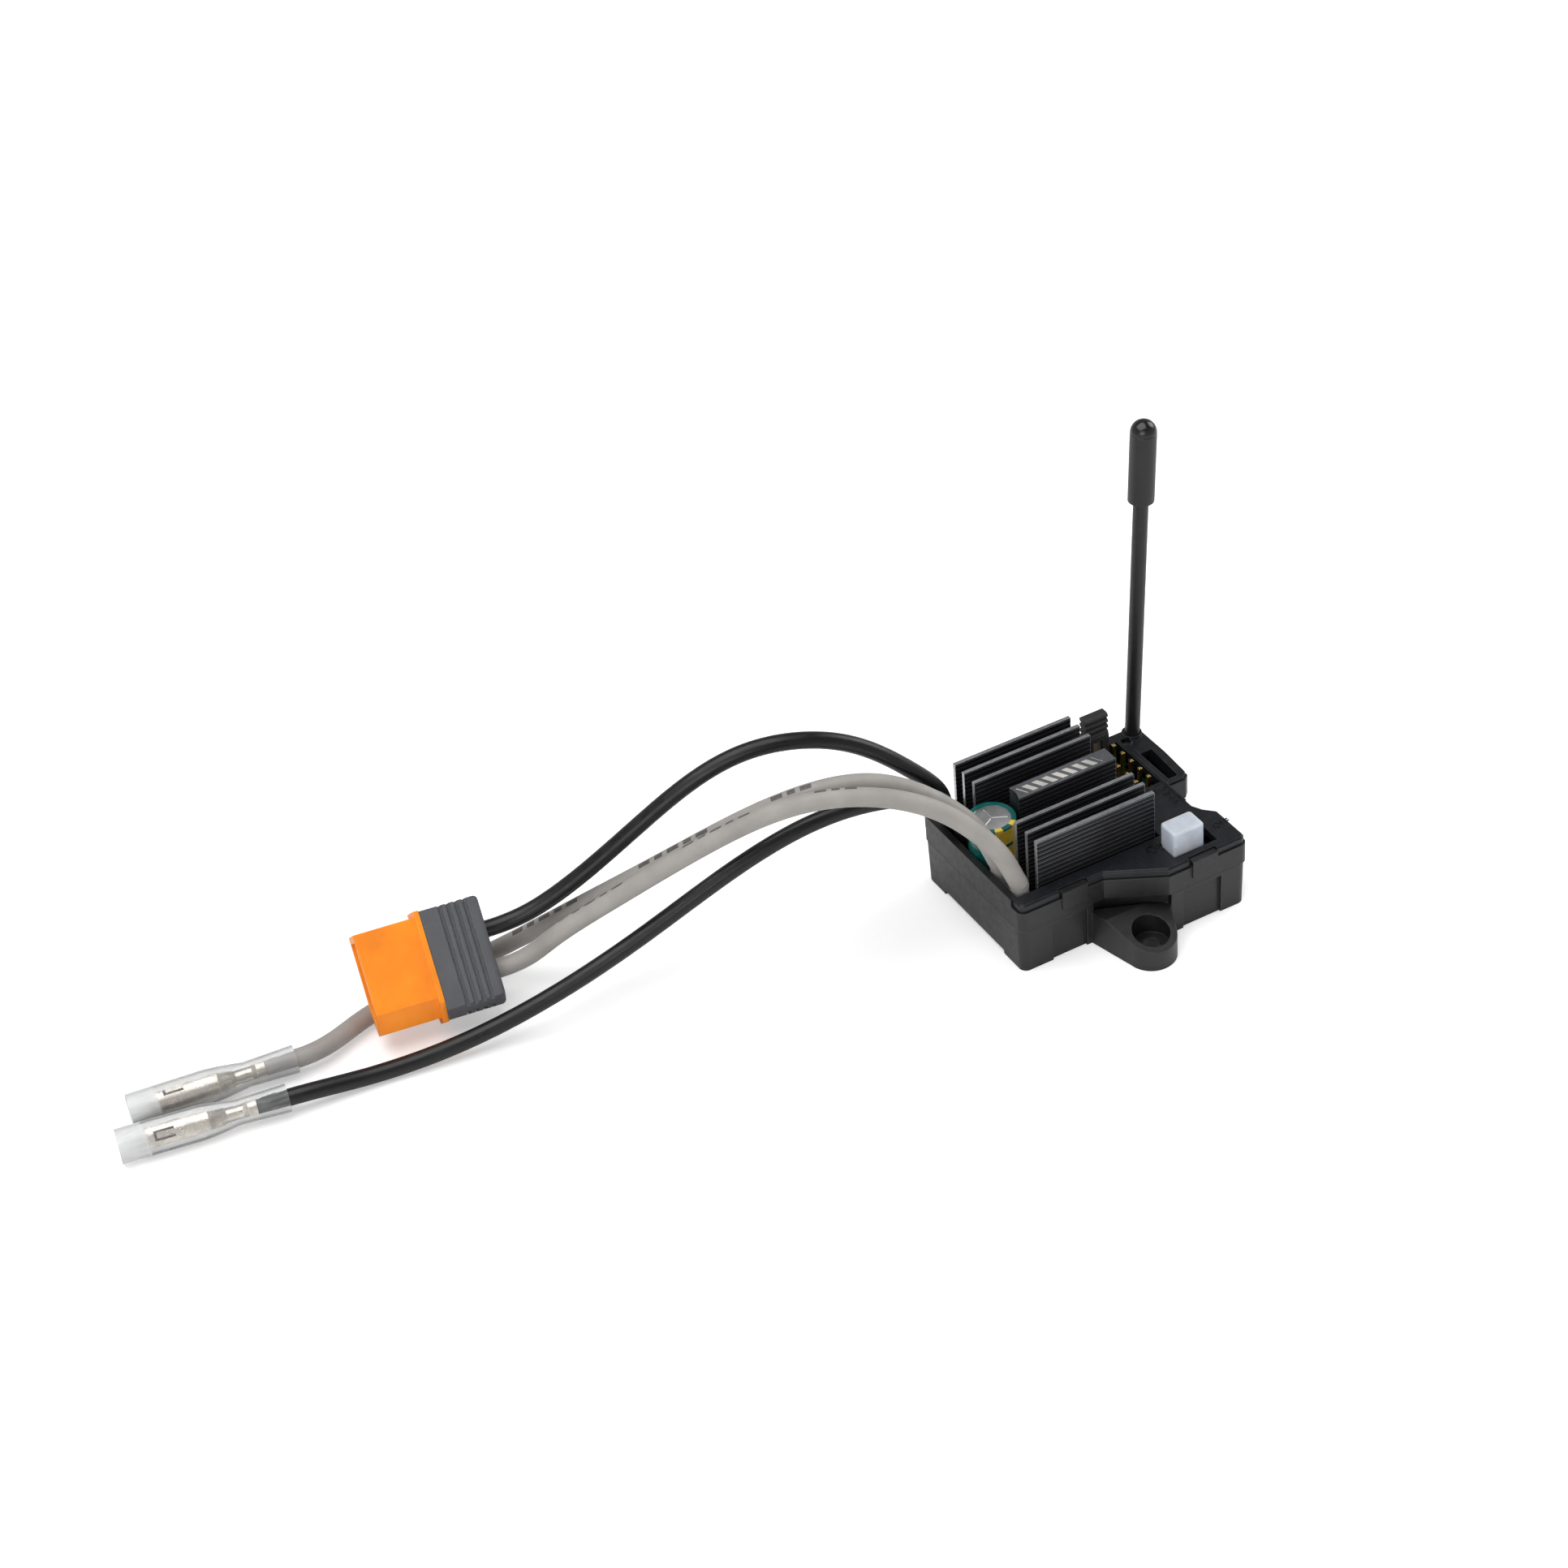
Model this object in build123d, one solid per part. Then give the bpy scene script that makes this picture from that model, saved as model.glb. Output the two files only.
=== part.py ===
from build123d import *
import math
import os

# Brushed-motor electronic speed controller with a built-in radio receiver.
#
# Working frame, in millimetres: X runs along the heat-sink fins, away from the cables, from the
# case's left wall. Y runs from the near wall's left half towards the aerial. Z is up from the
# mounting surface. The cables leave over the left wall and run along -X.
# Every part is written out with its origin moved to the foot of the near ear's screw hole.

# ---------------------------------------------------------------------------------------------
# Driving dimensions
# ---------------------------------------------------------------------------------------------

# Case
CASE_LENGTH = 39.9          # left wall to the right end, X
CASE_DEPTH = 30.0           # near left wall to the far wall, Y
STEP_OUT = 5.2              # how far the right half of the near wall stands out
STEP_START = 15.6           # X where the near wall starts to slant outwards
STEP_END = 24.6             # X where the slant ends
BAY_LENGTH = 42.1           # right face of the aerial bay
BAY_NEAR = 14.0             # near end of the aerial bay, Y
WAIST = 37.4                # right face between the switch end and the aerial bay
WALL = 1.2
FLOOR = 1.2
PARTING = 8.3               # height of the step between the drafted lower wall and the upper band
RIM = 12.0                  # top of the tub, where the cover lands
TOP = 13.4                  # top face of the cover
DRAFT = 1.5                 # degrees, lower wall
BAND_SETBACK = 0.45         # lower wall's setback from the upper band on the right and far sides
FLOOR_INSET = 0.2           # lower wall's setback at the floor on the left and near sides
CORNER = 1.3                # vertical corner radius
COVER_INSET = 0.3           # cover's edge stands this far inside the upper band
FIT = 0.1                   # clearance between parts that slide or drop in

# Screw ears
EAR_X = 19.5
EAR_REACH = 4.8             # screw hole's distance from the wall it stands on
EAR_RADIUS = 4.2
EAR_HOLE_RADIUS = 1.6       # clearance for an M3 screw
EAR_BORE_RADIUS = 3.1       # recess for the screw's head
EAR_BORE_FLOOR = 2.0
EAR_ROOT_HEIGHT = 6.3
EAR_TIP_HEIGHT = 3.4

# Board and the stack that carries the heat sink
BOARD_BOTTOM = 4.4
BOARD_TOP = 6.0
MOSFET_HEIGHT = 1.1
PAD_THICKNESS = 0.5
SINK_BOTTOM = BOARD_TOP + MOSFET_HEIGHT + PAD_THICKNESS
SINK_PLATE = 2.0
SINK_TOP = 21.9
SINK_LEFT = 5.6
SINK_RIGHT = 27.9
FIN_THICKNESS = 0.7
FIN_YS = (4.0, 6.7, 9.8, 22.4, 25.5, 28.3)
CENTRE_FIN = (14.6, 17.9)
GROOVE_PITCH = 0.85
GROOVE_DEPTH = 0.13
GROOVE_WIDTH = 0.3

# Capacitor
CAP_X = 5.3
CAP_Y = 16.6
CAP_RADIUS = 4.0
CAP_TOP = 18.6
CAP_SLEEVE = 0.15

# Servo header and jumper
PITCH = 2.54
PIN = 0.64
PIN_TOP = 14.5
HEADER_X = 35.0             # column nearest the right wall
HEADER_Y = 15.9             # nearest row
COLUMNS = 3
ROWS = 5
HEADER_BASE = 2.54
JUMPER_TOP = 22.3

# Power switch: the knob stands at its ON end at rest
KNOB_LENGTH = 5.8
KNOB_DEPTH = 4.1
KNOB_TOP = 17.7
KNOB_X = 30.1
KNOB_Y = -0.85
SWITCH_TRAVEL = 2.2

# Bind button
BUTTON_X = 37.75
BUTTON_Y = 26.6
BUTTON_RADIUS = 0.7

# Aerial
ANTENNA_X = 39.8
ANTENNA_Y = 27.9
ANTENNA_RADIUS = 1.25
ANTENNA_FOOT = 11.0        # height of the tube's lower end in its boss
ANTENNA_LENGTH = 63.6
BOSS_RADIUS = 1.55
ANTENNA_LEAN_X = 2.1        # degrees towards +X
ANTENNA_LEAN_Y = 1.2        # degrees towards -Y
TIP_RADIUS = 2.15
TIP_LENGTH = 14.7

# Wires, 16 AWG silicone
BLACK_RADIUS = 1.4
GREY_RADIUS = 1.55
CORE_RADIUS = 0.8
PAD_X = 2.95
PAD_YS = {
    "battery_wire_grey": 5.0,
    "motor_wire_grey": 10.8,
    "motor_wire_black": 21.8,
    "battery_wire_black": 25.6,
}
WIRE_END = 7.7              # height where the insulation stops above the board
WIRE_DROP = 13.8            # height where each wire turns straight down to its pad

# Battery plug: lies on its chamfered edge and leans back
PLUG_CENTRE = (-82.3, 44.7, 9.9)
PLUG_YAW = 8.5              # degrees, plug's axis from -X towards +Y
PLUG_LEAN = 49.0            # degrees, plug's width from the table
PLUG_WIDTH = 16.4           # housing; the grip and the flange are wider
GRIP_WIDTH = 17.8
FLANGE_WIDTH = 18.2
PLUG_THICKNESS = 8.0
HOUSING_LENGTH = 10.9
GRIP_LENGTH = 9.7
CONTACT_SPACING = 6.6
CONTACT_RADIUS = 1.75

# Bullet terminals, lying on the table
TERMINAL_HEIGHT = 2.9
BLACK_TAIL = (-111.4, 37.0)
BLACK_YAW = 10.0
GREY_TAIL = (-107.0, 44.7)
GREY_YAW = 7.3
BARREL_MOUTH = 23.7         # bullet barrel's open end, from the terminal's tail
SLEEVE_LENGTH = 26.8
SLEEVE_WALL = 0.35


# ---------------------------------------------------------------------------------------------
# Small helpers
# ---------------------------------------------------------------------------------------------

def block(x0, x1, y0, y1, z0, z1):
    """Box between two corners."""
    centre = Pos((x0 + x1) / 2, (y0 + y1) / 2, (z0 + z1) / 2)
    return centre * Box(x1 - x0, y1 - y0, z1 - z0)


def post(x, y, z0, z1, radius):
    """Upright cylinder."""
    return Pos(x, y, (z0 + z1) / 2) * Cylinder(radius, z1 - z0)


def outline(points, z=0.0):
    """Flat face with straight sides at height z."""
    return make_face(Polyline(*[(x, y, z) for x, y in points], close=True))


def prism(points, z0, z1):
    """Upright prism on a straight-sided outline."""
    return extrude(outline(points, z0), amount=z1 - z0, dir=(0, 0, 1))


def turned(points):
    """Solid turned about the X axis from a half section of (x, radius) points."""
    return revolve(make_face(Polyline(*[(x, r, 0) for x, r in points], close=True)), Axis.X)


def union(shapes):
    """Fuse a list of solids into one."""
    shapes = list(shapes)
    result = shapes[0]
    for shape in shapes[1:]:
        result = result + shape
    return result


def write(name, shape):
    """Write one node's STEP file, with the origin at the foot of the near ear's screw hole."""
    moved = Pos(-EAR_X, -(NEAR_EAR_WALL - EAR_REACH), 0) * shape
    export_step(moved, os.path.join("parts", name + ".step"))


# ---------------------------------------------------------------------------------------------
# Case
# ---------------------------------------------------------------------------------------------

def case_points(inset=0.0, near_inset=None):
    """Plan outline of the case, moved inwards by inset, anticlockwise from the near left corner.

    near_inset is used in place of inset on the left and near walls.
    """
    i = inset
    n = inset if near_inset is None else near_inset
    slant = math.atan2(STEP_OUT, STEP_END - STEP_START)
    shift = n * math.tan(slant / 2)
    return [
        (n, n),
        (STEP_START + shift, n),
        (STEP_END + shift, -STEP_OUT + n),
        (CASE_LENGTH - i, -STEP_OUT + n),
        (CASE_LENGTH - i, 3.2 - i * 0.4),
        (CASE_LENGTH - 1.7 - i * 0.6, 4.9 - i * 0.6),
        (WAIST - i, 6.6 - i * 0.3),
        (WAIST - i, BAY_NEAR + i),
        (BAY_LENGTH - 1.0 - i, BAY_NEAR + i),
        (BAY_LENGTH - i, BAY_NEAR + 1.0 + i),
        (BAY_LENGTH - i, CASE_DEPTH - 1.4 - i * 0.5),
        (BAY_LENGTH - 1.1 - i * 0.5, CASE_DEPTH - i),
        (n, CASE_DEPTH - i),
    ]


def case_face(inset, z, corner=CORNER, near_inset=None):
    """Plan face of the case with its outer corners rounded."""
    points = case_points(inset, near_inset)
    face = outline(points, z)
    ends = [points[0], points[-1], points[3]]
    picked = [v for v in face.vertices() if any(math.dist((v.X, v.Y), end) < 0.05 for end in ends)]
    return fillet(picked, corner)


def screw_ear(wall_y, root_y, side):
    """Ear standing off a long wall. side is -1 on the near wall and +1 on the far wall."""
    hole_y = wall_y + side * EAR_REACH
    pad = post(EAR_X, hole_y, 0, EAR_ROOT_HEIGHT + 1, EAR_RADIUS)
    lean = math.radians(20)
    reach = EAR_RADIUS * math.cos(lean)
    drop = side * EAR_RADIUS * math.sin(lean)
    web = prism(
        [
            (EAR_X - 6.4, root_y[0]),
            (EAR_X - reach, hole_y + drop),
            (EAR_X + reach, hole_y + drop),
            (EAR_X + 5.8, root_y[1]),
        ],
        0,
        EAR_ROOT_HEIGHT + 1,
    )
    tip_y = hole_y + side * EAR_RADIUS
    above = extrude(
        make_face(
            Polyline(
                (0, wall_y - side * 6, EAR_ROOT_HEIGHT),
                (0, wall_y, EAR_ROOT_HEIGHT),
                (0, tip_y + side, EAR_TIP_HEIGHT),
                (0, tip_y + side, EAR_ROOT_HEIGHT + 2),
                (0, wall_y - side * 6, EAR_ROOT_HEIGHT + 2),
                close=True,
            )
        ),
        amount=60,
        dir=(1, 0, 0),
    )
    ear = pad + web - above
    ear = ear - post(EAR_X, hole_y, EAR_BORE_FLOOR, EAR_ROOT_HEIGHT + 2, EAR_BORE_RADIUS)
    return ear - post(EAR_X, hole_y, -1, EAR_BORE_FLOOR + 1, EAR_HOLE_RADIUS)


BOARD_POSTS = ((7.0, 5.0), (7.0, 26.0), (37.3, -2.0), (38.6, 20.0))
NEAR_EAR_WALL = -2.6
FAR_EAR_WALL = CASE_DEPTH
CATCHES = ((10.1, 0.0, -1), (31.4, -STEP_OUT, -1), (10.1, CASE_DEPTH, 1), (31.4, CASE_DEPTH, 1))
CATCH_WIDTH = 4.8
CATCH_PROUD = 0.3
CATCH_LEDGE = 12.7          # top of the cover's ledge under each catch
WINDOW_NEAR = 2.9
WINDOW_FAR = 29.1


def catch(x, wall_y, side):
    """Hook on the tub's rim that holds the cover down."""
    outer = wall_y + side * CATCH_PROUD
    inner = wall_y - side * (COVER_INSET + 0.1 - 0.02)
    stem = block(x - CATCH_WIDTH / 2, x + CATCH_WIDTH / 2, min(outer, inner), max(outer, inner), 9.8, 13.0)
    lip_in = wall_y - side * 0.9
    lip = block(
        x - CATCH_WIDTH / 2,
        x + CATCH_WIDTH / 2,
        min(outer, lip_in),
        max(outer, lip_in),
        CATCH_LEDGE + 0.05,
        13.15,
    )
    return stem + lip


def lower_case():
    foot = case_face(BAND_SETBACK, 0, near_inset=FLOOR_INSET)
    lower = extrude(foot, amount=PARTING, dir=(0, 0, 1), taper=-DRAFT)
    band = extrude(case_face(0, PARTING), amount=RIM - PARTING, dir=(0, 0, 1))
    shell = lower + band

    # Left wall rises to the cover's top between the cover's two arms.
    shell = shell + block(0.0, WALL, WINDOW_NEAR, WINDOW_FAR, RIM - 1, TOP - 0.1)

    # Recessed panels leave a block at each near corner and a rib beside the ear.
    panel_depth = 0.6
    panel_top = PARTING - 0.6
    shell = shell - block(5.9, 12.3, -1, panel_depth, -1, panel_top)
    shell = shell - block(27.4, 34.6, -STEP_OUT - 1, -STEP_OUT + panel_depth, -1, panel_top)
    shell = shell - block(5.9, 33.0, CASE_DEPTH - panel_depth, CASE_DEPTH + 1, -1, panel_top)
    shell = shell - block(-1, panel_depth, 6.0, 24.0, -1, 0.8)

    # The wall behind the near ear is set back under the slanting band.
    slant = (STEP_OUT) / (STEP_END - STEP_START)
    shell = shell - prism(
        [
            (13.6, -1.0),
            (13.6, 0.9),
            (16.2, 0.9),
            (25.0, 0.9 - 8.8 * slant),
            (25.0, -7.0),
            (17.0, -7.0),
        ],
        -1,
        PARTING,
    )
    shell = shell + screw_ear(NEAR_EAR_WALL, (0.95, -4.3), -1)
    shell = shell + screw_ear(FAR_EAR_WALL, (CASE_DEPTH - 0.7, CASE_DEPTH - 0.7), 1)

    # Hollow inside, with room for the foot of the aerial's boss.
    shell = shell - extrude(outline(case_points(WALL + 0.5), FLOOR), amount=RIM, dir=(0, 0, 1))
    shell = shell - extrude(outline(case_points(WALL), PARTING - 1), amount=RIM, dir=(0, 0, 1))
    shell = shell - block(WALL, WAIST - 2, 4.0, CASE_DEPTH - 2, FLOOR, RIM + 2)
    shell = shell - post(ANTENNA_X, ANTENNA_Y, ANTENNA_FOOT - 1.1, RIM + 1, BOSS_RADIUS + FIT)
    shell = shell - post(ANTENNA_X, ANTENNA_Y, BOARD_BOTTOM, RIM, 0.7)
    shell = shell - block(HEADER_X, 36.4, BAY_NEAR + 0.5, BAY_NEAR + 2.5, BOARD_TOP - 0.2, PARTING + 1)

    # Posts that carry the board.
    for x, y in BOARD_POSTS:
        shell = shell + post(x, y, FLOOR - 0.1, BOARD_BOTTOM, 1.3)

    for x, wall_y, side in CATCHES:
        shell = shell + catch(x, wall_y, side)
    return shell


def top_cover():
    plate = extrude(case_face(COVER_INSET, RIM, CORNER - COVER_INSET), amount=TOP - RIM, dir=(0, 0, 1))
    edges = [e for e in plate.edges().group_by(Axis.Z)[-1]]
    plate = chamfer(edges, 0.3)

    # Skirt that locates the cover inside the tub.
    skirt_outer = extrude(outline(case_points(WALL + FIT), RIM - 1.4), amount=1.5, dir=(0, 0, 1))
    skirt_inner = extrude(outline(case_points(WALL + FIT + 0.8), RIM - 2), amount=4, dir=(0, 0, 1))
    plate = plate + (skirt_outer - skirt_inner)

    # Heat-sink window, open to the left wall, with the header opening joined to it.
    plate = plate - block(-1, SINK_RIGHT + 0.5, WINDOW_NEAR - 0.05, WINDOW_FAR + 0.05, RIM - 3, TOP + 1)
    header_near = HEADER_Y - PITCH / 2 - 0.2
    header_far = HEADER_Y + (ROWS - 1) * PITCH + PITCH / 2 + 0.2
    header_right = HEADER_X + PITCH / 2 + 0.2
    plate = plate - block(SINK_RIGHT, header_right, header_near, header_far, RIM - 3, TOP + 1)

    # Switch slot.
    slot_left = KNOB_X - KNOB_LENGTH / 2 - 0.15
    slot_right = KNOB_X + KNOB_LENGTH / 2 + SWITCH_TRAVEL + 0.15
    slot_half = KNOB_DEPTH / 2 + 0.15
    plate = plate - block(slot_left, slot_right, KNOB_Y - slot_half, KNOB_Y + slot_half, RIM - 3, TOP + 1)

    # Raised rib along the right edge of the header opening.
    plate = plate + block(WAIST - 0.75, WAIST - 0.45, 8.0, 23.4, TOP - 0.1, TOP + 0.25)

    # Pocket in the aerial bay, and the bay's sloping outer strip.
    plate = plate - block(WAIST + 0.5, 40.3, BAY_NEAR + 1.2, 22.8, RIM - 3, TOP + 1)
    strip_cut = extrude(
        make_face(
            Polyline(
                (0, 24.6, TOP),
                (0, BAY_NEAR - 1, TOP - 1.0),
                (0, BAY_NEAR - 1, TOP + 1),
                (0, 24.6, TOP + 1),
                close=True,
            )
        ),
        amount=6,
        dir=(1, 0, 0),
    )
    plate = plate - Pos(WAIST + 0.5, 0, 0) * strip_cut

    # Aerial boss and the rimmed hole of the bind button.
    plate = plate + post(ANTENNA_X, ANTENNA_Y, ANTENNA_FOOT - 1.0, RIM + 0.1, BOSS_RADIUS)
    plate = plate + post(ANTENNA_X, ANTENNA_Y, RIM, TOP + 0.5, ANTENNA_RADIUS + 0.45)
    plate = plate - post(ANTENNA_X, ANTENNA_Y, ANTENNA_FOOT - 2.0, ANTENNA_FOOT, 0.7)
    plate = plate - antenna_axis() * Pos(0, 0, 5) * Cylinder(ANTENNA_RADIUS + 0.05, 10)
    plate = plate + post(BUTTON_X, BUTTON_Y, TOP - 0.1, TOP + 0.25, BUTTON_RADIUS + 0.45)
    plate = plate - post(BUTTON_X, BUTTON_Y, RIM - 2, TOP + 1, BUTTON_RADIUS + 0.12)

    # Notches for the catches: each leaves a ledge that the catch's lip holds down.
    for x, wall_y, side in CATCHES:
        half = CATCH_WIDTH / 2 + 0.25
        edge = wall_y - side * 1.0
        outer = wall_y + side * 1.0
        plate = plate - block(x - half, x + half, min(edge, outer), max(edge, outer), CATCH_LEDGE, TOP + 1)
        edge = wall_y - side * (COVER_INSET + 0.1)
        plate = plate - block(x - half, x + half, min(edge, outer), max(edge, outer), RIM - 1, TOP + 1)
    return plate


# ---------------------------------------------------------------------------------------------
# Heat sink, board and the parts on it
# ---------------------------------------------------------------------------------------------

def fin_side(y, outwards, z0, z1):
    """Points up one grooved side of a fin. outwards is +1 or -1, the way the side faces."""
    points = [(y, z0)]
    count = int((z1 - z0 - 0.6) / GROOVE_PITCH)
    for k in range(count):
        z = z0 + 0.7 + k * GROOVE_PITCH
        points.append((y, z))
        points.append((y - outwards * GROOVE_DEPTH, z + GROOVE_WIDTH / 2))
        points.append((y, z + GROOVE_WIDTH))
    points.append((y, z1))
    return points


def fin_profile(y0, y1):
    """Closed section of one fin, from inside the base plate to the fins' tops."""
    foot = SINK_BOTTOM + SINK_PLATE
    left = fin_side(y0, -1, foot, SINK_TOP)
    right = fin_side(y1, 1, foot, SINK_TOP)
    ring = [(y0, foot - 0.2)] + left + right[::-1] + [(y1, foot - 0.2)]
    return make_face(Polyline(*[(0, y, z) for y, z in ring], close=True))


def heat_sink():
    length = SINK_RIGHT - SINK_LEFT
    first = FIN_YS[0] - FIN_THICKNESS / 2
    last = FIN_YS[-1] + FIN_THICKNESS / 2
    sink = block(SINK_LEFT, SINK_RIGHT, first, last, SINK_BOTTOM, SINK_BOTTOM + SINK_PLATE)
    spans = [(y - FIN_THICKNESS / 2, y + FIN_THICKNESS / 2) for y in FIN_YS]
    for y0, y1 in spans + [CENTRE_FIN]:
        fin = extrude(fin_profile(y0, y1), amount=length, dir=(1, 0, 0))
        sink = sink + Pos(SINK_LEFT, 0, 0) * fin
    scallop = CAP_RADIUS + CAP_SLEEVE + 0.35
    return sink - post(CAP_X, CAP_Y, SINK_BOTTOM - 1, SINK_TOP + 1, scallop)


def mosfet_places():
    return [(9.4 + 5.5 * i, y) for y in (7.6, 25.0) for i in range(4)]


def power_mosfets():
    top = BOARD_TOP + MOSFET_HEIGHT
    return [block(x - 2.5, x + 2.5, y - 3.0, y + 3.0, BOARD_TOP, top) for x, y in mosfet_places()]


def thermal_pads():
    z = BOARD_TOP + MOSFET_HEIGHT
    return [block(6.9, 28.1, y - 3.0, y + 3.0, z, z + PAD_THICKNESS) for y in (7.6, 25.0)]


def main_board():
    face = outline(case_points(WALL + 0.8), BOARD_BOTTOM)
    board = extrude(face, amount=BOARD_TOP - BOARD_BOTTOM, dir=(0, 0, 1))
    for y in PAD_YS.values():
        board = board - post(PAD_X, y, 0, 10, CORE_RADIUS + 0.05)
    for side in (-1, 1):
        board = board - post(CAP_X, CAP_Y + side * 1.75, 0, 10, 0.35)
    for x, y in header_places():
        board = board - block(x - 0.37, x + 0.37, y - 0.37, y + 0.37, 0, 10)
    for x in switch_terminal_places():
        board = board - block(x - 0.35, x + 0.35, KNOB_Y - 0.25, KNOB_Y + 0.25, 0, 10)
    return board


def motor_controller_chip():
    return block(14.5, 19.5, 13.7, 18.7, BOARD_TOP, BOARD_TOP + 0.9)


def receiver_module():
    return block(28.8, 35.5, 6.6, 13.4, BOARD_TOP, BOARD_TOP + 0.8)


def receiver_shield():
    z = BOARD_TOP + 0.8
    lid = block(29.2, 35.1, 7.1, 12.9, z, z + 1.8)
    return lid - block(29.4, 34.9, 7.3, 12.7, z - 1, z + 1.6)


def bec_regulator():
    return block(29.6, 34.6, 2.2, 6.0, BOARD_TOP, BOARD_TOP + 1.5)


def bec_inductor():
    body = block(22.0, 26.4, -1.3, 3.1, BOARD_TOP, BOARD_TOP + 3.0)
    body = chamfer(body.edges().filter_by(Axis.Z), 0.9)
    return body - post(24.2, 0.9, BOARD_TOP + 2.4, BOARD_TOP + 4, 1.6)


def ceramic_capacitors():
    places = [(11.0 + 2.4 * i, 12.2) for i in range(5)] + [(11.0 + 2.4 * i, 20.3) for i in range(5)]
    return [block(x - 1.0, x + 1.0, y - 0.6, y + 0.6, BOARD_TOP, BOARD_TOP + 0.8) for x, y in places]


# ---------------------------------------------------------------------------------------------
# Input capacitor
# ---------------------------------------------------------------------------------------------

def capacitor_can():
    bottom = BOARD_TOP + 0.2
    can = post(CAP_X, CAP_Y, bottom, CAP_TOP, CAP_RADIUS - CAP_SLEEVE)
    can = fillet(can.edges().sort_by(Axis.Z)[-1], 0.4)
    crimp = Pos(CAP_X, CAP_Y, bottom + 2.2) * Torus(CAP_RADIUS - CAP_SLEEVE, 0.35)
    can = can - crimp
    # Three-way pressure vent pressed into the top.
    for turn in (90, 210, 330):
        groove = Box(2.6, 0.18, 0.3)
        can = can - Pos(CAP_X, CAP_Y, CAP_TOP) * Rot(0, 0, turn) * Pos(1.3, 0, 0) * groove
    return can


def capacitor_sleeve():
    bottom = BOARD_TOP + 0.2
    inner = CAP_RADIUS - CAP_SLEEVE
    sleeve = post(CAP_X, CAP_Y, bottom, CAP_TOP, CAP_RADIUS) - post(CAP_X, CAP_Y, 0, 30, inner)
    rim = post(CAP_X, CAP_Y, CAP_TOP, CAP_TOP + 0.15, CAP_RADIUS - 0.05)
    rim = rim - post(CAP_X, CAP_Y, 0, 30, inner - 0.7)
    return sleeve + rim


def capacitor_leads():
    return [post(CAP_X, CAP_Y + side * 1.75, 3.2, BOARD_TOP + 0.2, 0.3) for side in (-1, 1)]


# ---------------------------------------------------------------------------------------------
# Servo header and jumper
# ---------------------------------------------------------------------------------------------

def header_places():
    return [(HEADER_X - c * PITCH, HEADER_Y + r * PITCH) for c in range(COLUMNS) for r in range(ROWS)]


def header_base():
    left = HEADER_X - (COLUMNS - 1) * PITCH - PITCH / 2
    far = HEADER_Y + (ROWS - 1) * PITCH + PITCH / 2
    base = block(left, HEADER_X + PITCH / 2, HEADER_Y - PITCH / 2, far, BOARD_TOP, BOARD_TOP + HEADER_BASE)
    for x, y in header_places():
        base = base - block(x - PIN / 2, x + PIN / 2, y - PIN / 2, y + PIN / 2, 0, 20)
    return base


def header_pins():
    pins = []
    for x, y in header_places():
        pin = block(x - PIN / 2, x + PIN / 2, y - PIN / 2, y + PIN / 2, 3.2, PIN_TOP)
        pins.append(chamfer(pin.edges().group_by(Axis.Z)[-1], 0.18))
    return pins


JUMPER_X = HEADER_X - 1.5 * PITCH
JUMPER_Y = HEADER_Y + (ROWS - 1) * PITCH
JUMPER_BOTTOM = BOARD_TOP + HEADER_BASE + 0.1
JUMPER_WIDTH = 4.3
JUMPER_DEPTH = 2.3
CONTACT_TOP = 17.6


def jumper_body():
    half = JUMPER_WIDTH / 2
    deep = JUMPER_DEPTH / 2
    body = block(
        JUMPER_X - half,
        JUMPER_X + half,
        JUMPER_Y - deep,
        JUMPER_Y + deep,
        JUMPER_BOTTOM,
        CONTACT_TOP + 0.7,
    )
    handle = block(
        JUMPER_X - half, JUMPER_X + half, JUMPER_Y - 0.6, JUMPER_Y + 0.6, CONTACT_TOP, JUMPER_TOP
    )
    body = body + handle
    for k in range(5):
        z = JUMPER_TOP - 0.5 - k * 1.1
        bar = Pos(JUMPER_X, 0, z) * Rot(0, 90, 0) * Cylinder(0.42, JUMPER_WIDTH)
        body = body + Pos(0, JUMPER_Y - 0.6, 0) * bar + Pos(0, JUMPER_Y + 0.6, 0) * bar
    cavity = block(
        JUMPER_X - 1.8, JUMPER_X + 1.8, JUMPER_Y - 0.8, JUMPER_Y + 0.8, JUMPER_BOTTOM - 1, CONTACT_TOP + 0.1
    )
    left, right = JUMPER_X - 0.9, JUMPER_X + 0.9
    window = block(left, right, JUMPER_Y - 2, JUMPER_Y, CONTACT_TOP - 2.6, CONTACT_TOP - 0.3)
    return body - cavity - window


def jumper_contact():
    """Folded strip: two leaves that grip each pin, joined by a bridge above the pins."""
    half = 1.7
    left, right = JUMPER_X - half, JUMPER_X + half
    bridge = block(left, right, JUMPER_Y - 0.7, JUMPER_Y + 0.7, CONTACT_TOP - 2.8, CONTACT_TOP)
    leaves = []
    for side in (-1, 1):
        y0 = JUMPER_Y + side * (PIN / 2 + 0.03)
        y1 = JUMPER_Y + side * 0.7
        leaves.append(block(left, right, min(y0, y1), max(y0, y1), JUMPER_BOTTOM + 0.4, CONTACT_TOP - 2.7))
    return union([bridge] + leaves)


# ---------------------------------------------------------------------------------------------
# Power switch
# ---------------------------------------------------------------------------------------------

SWITCH_MIDDLE = KNOB_X + SWITCH_TRAVEL / 2
SWITCH_TOP = 10.2
STEM_HALF = 0.9
CAP_SKIRT = 11.4            # bottom of the knob


def switch_terminal_places():
    return [SWITCH_MIDDLE + offset for offset in (-2.5, 0, 2.5)]


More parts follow.
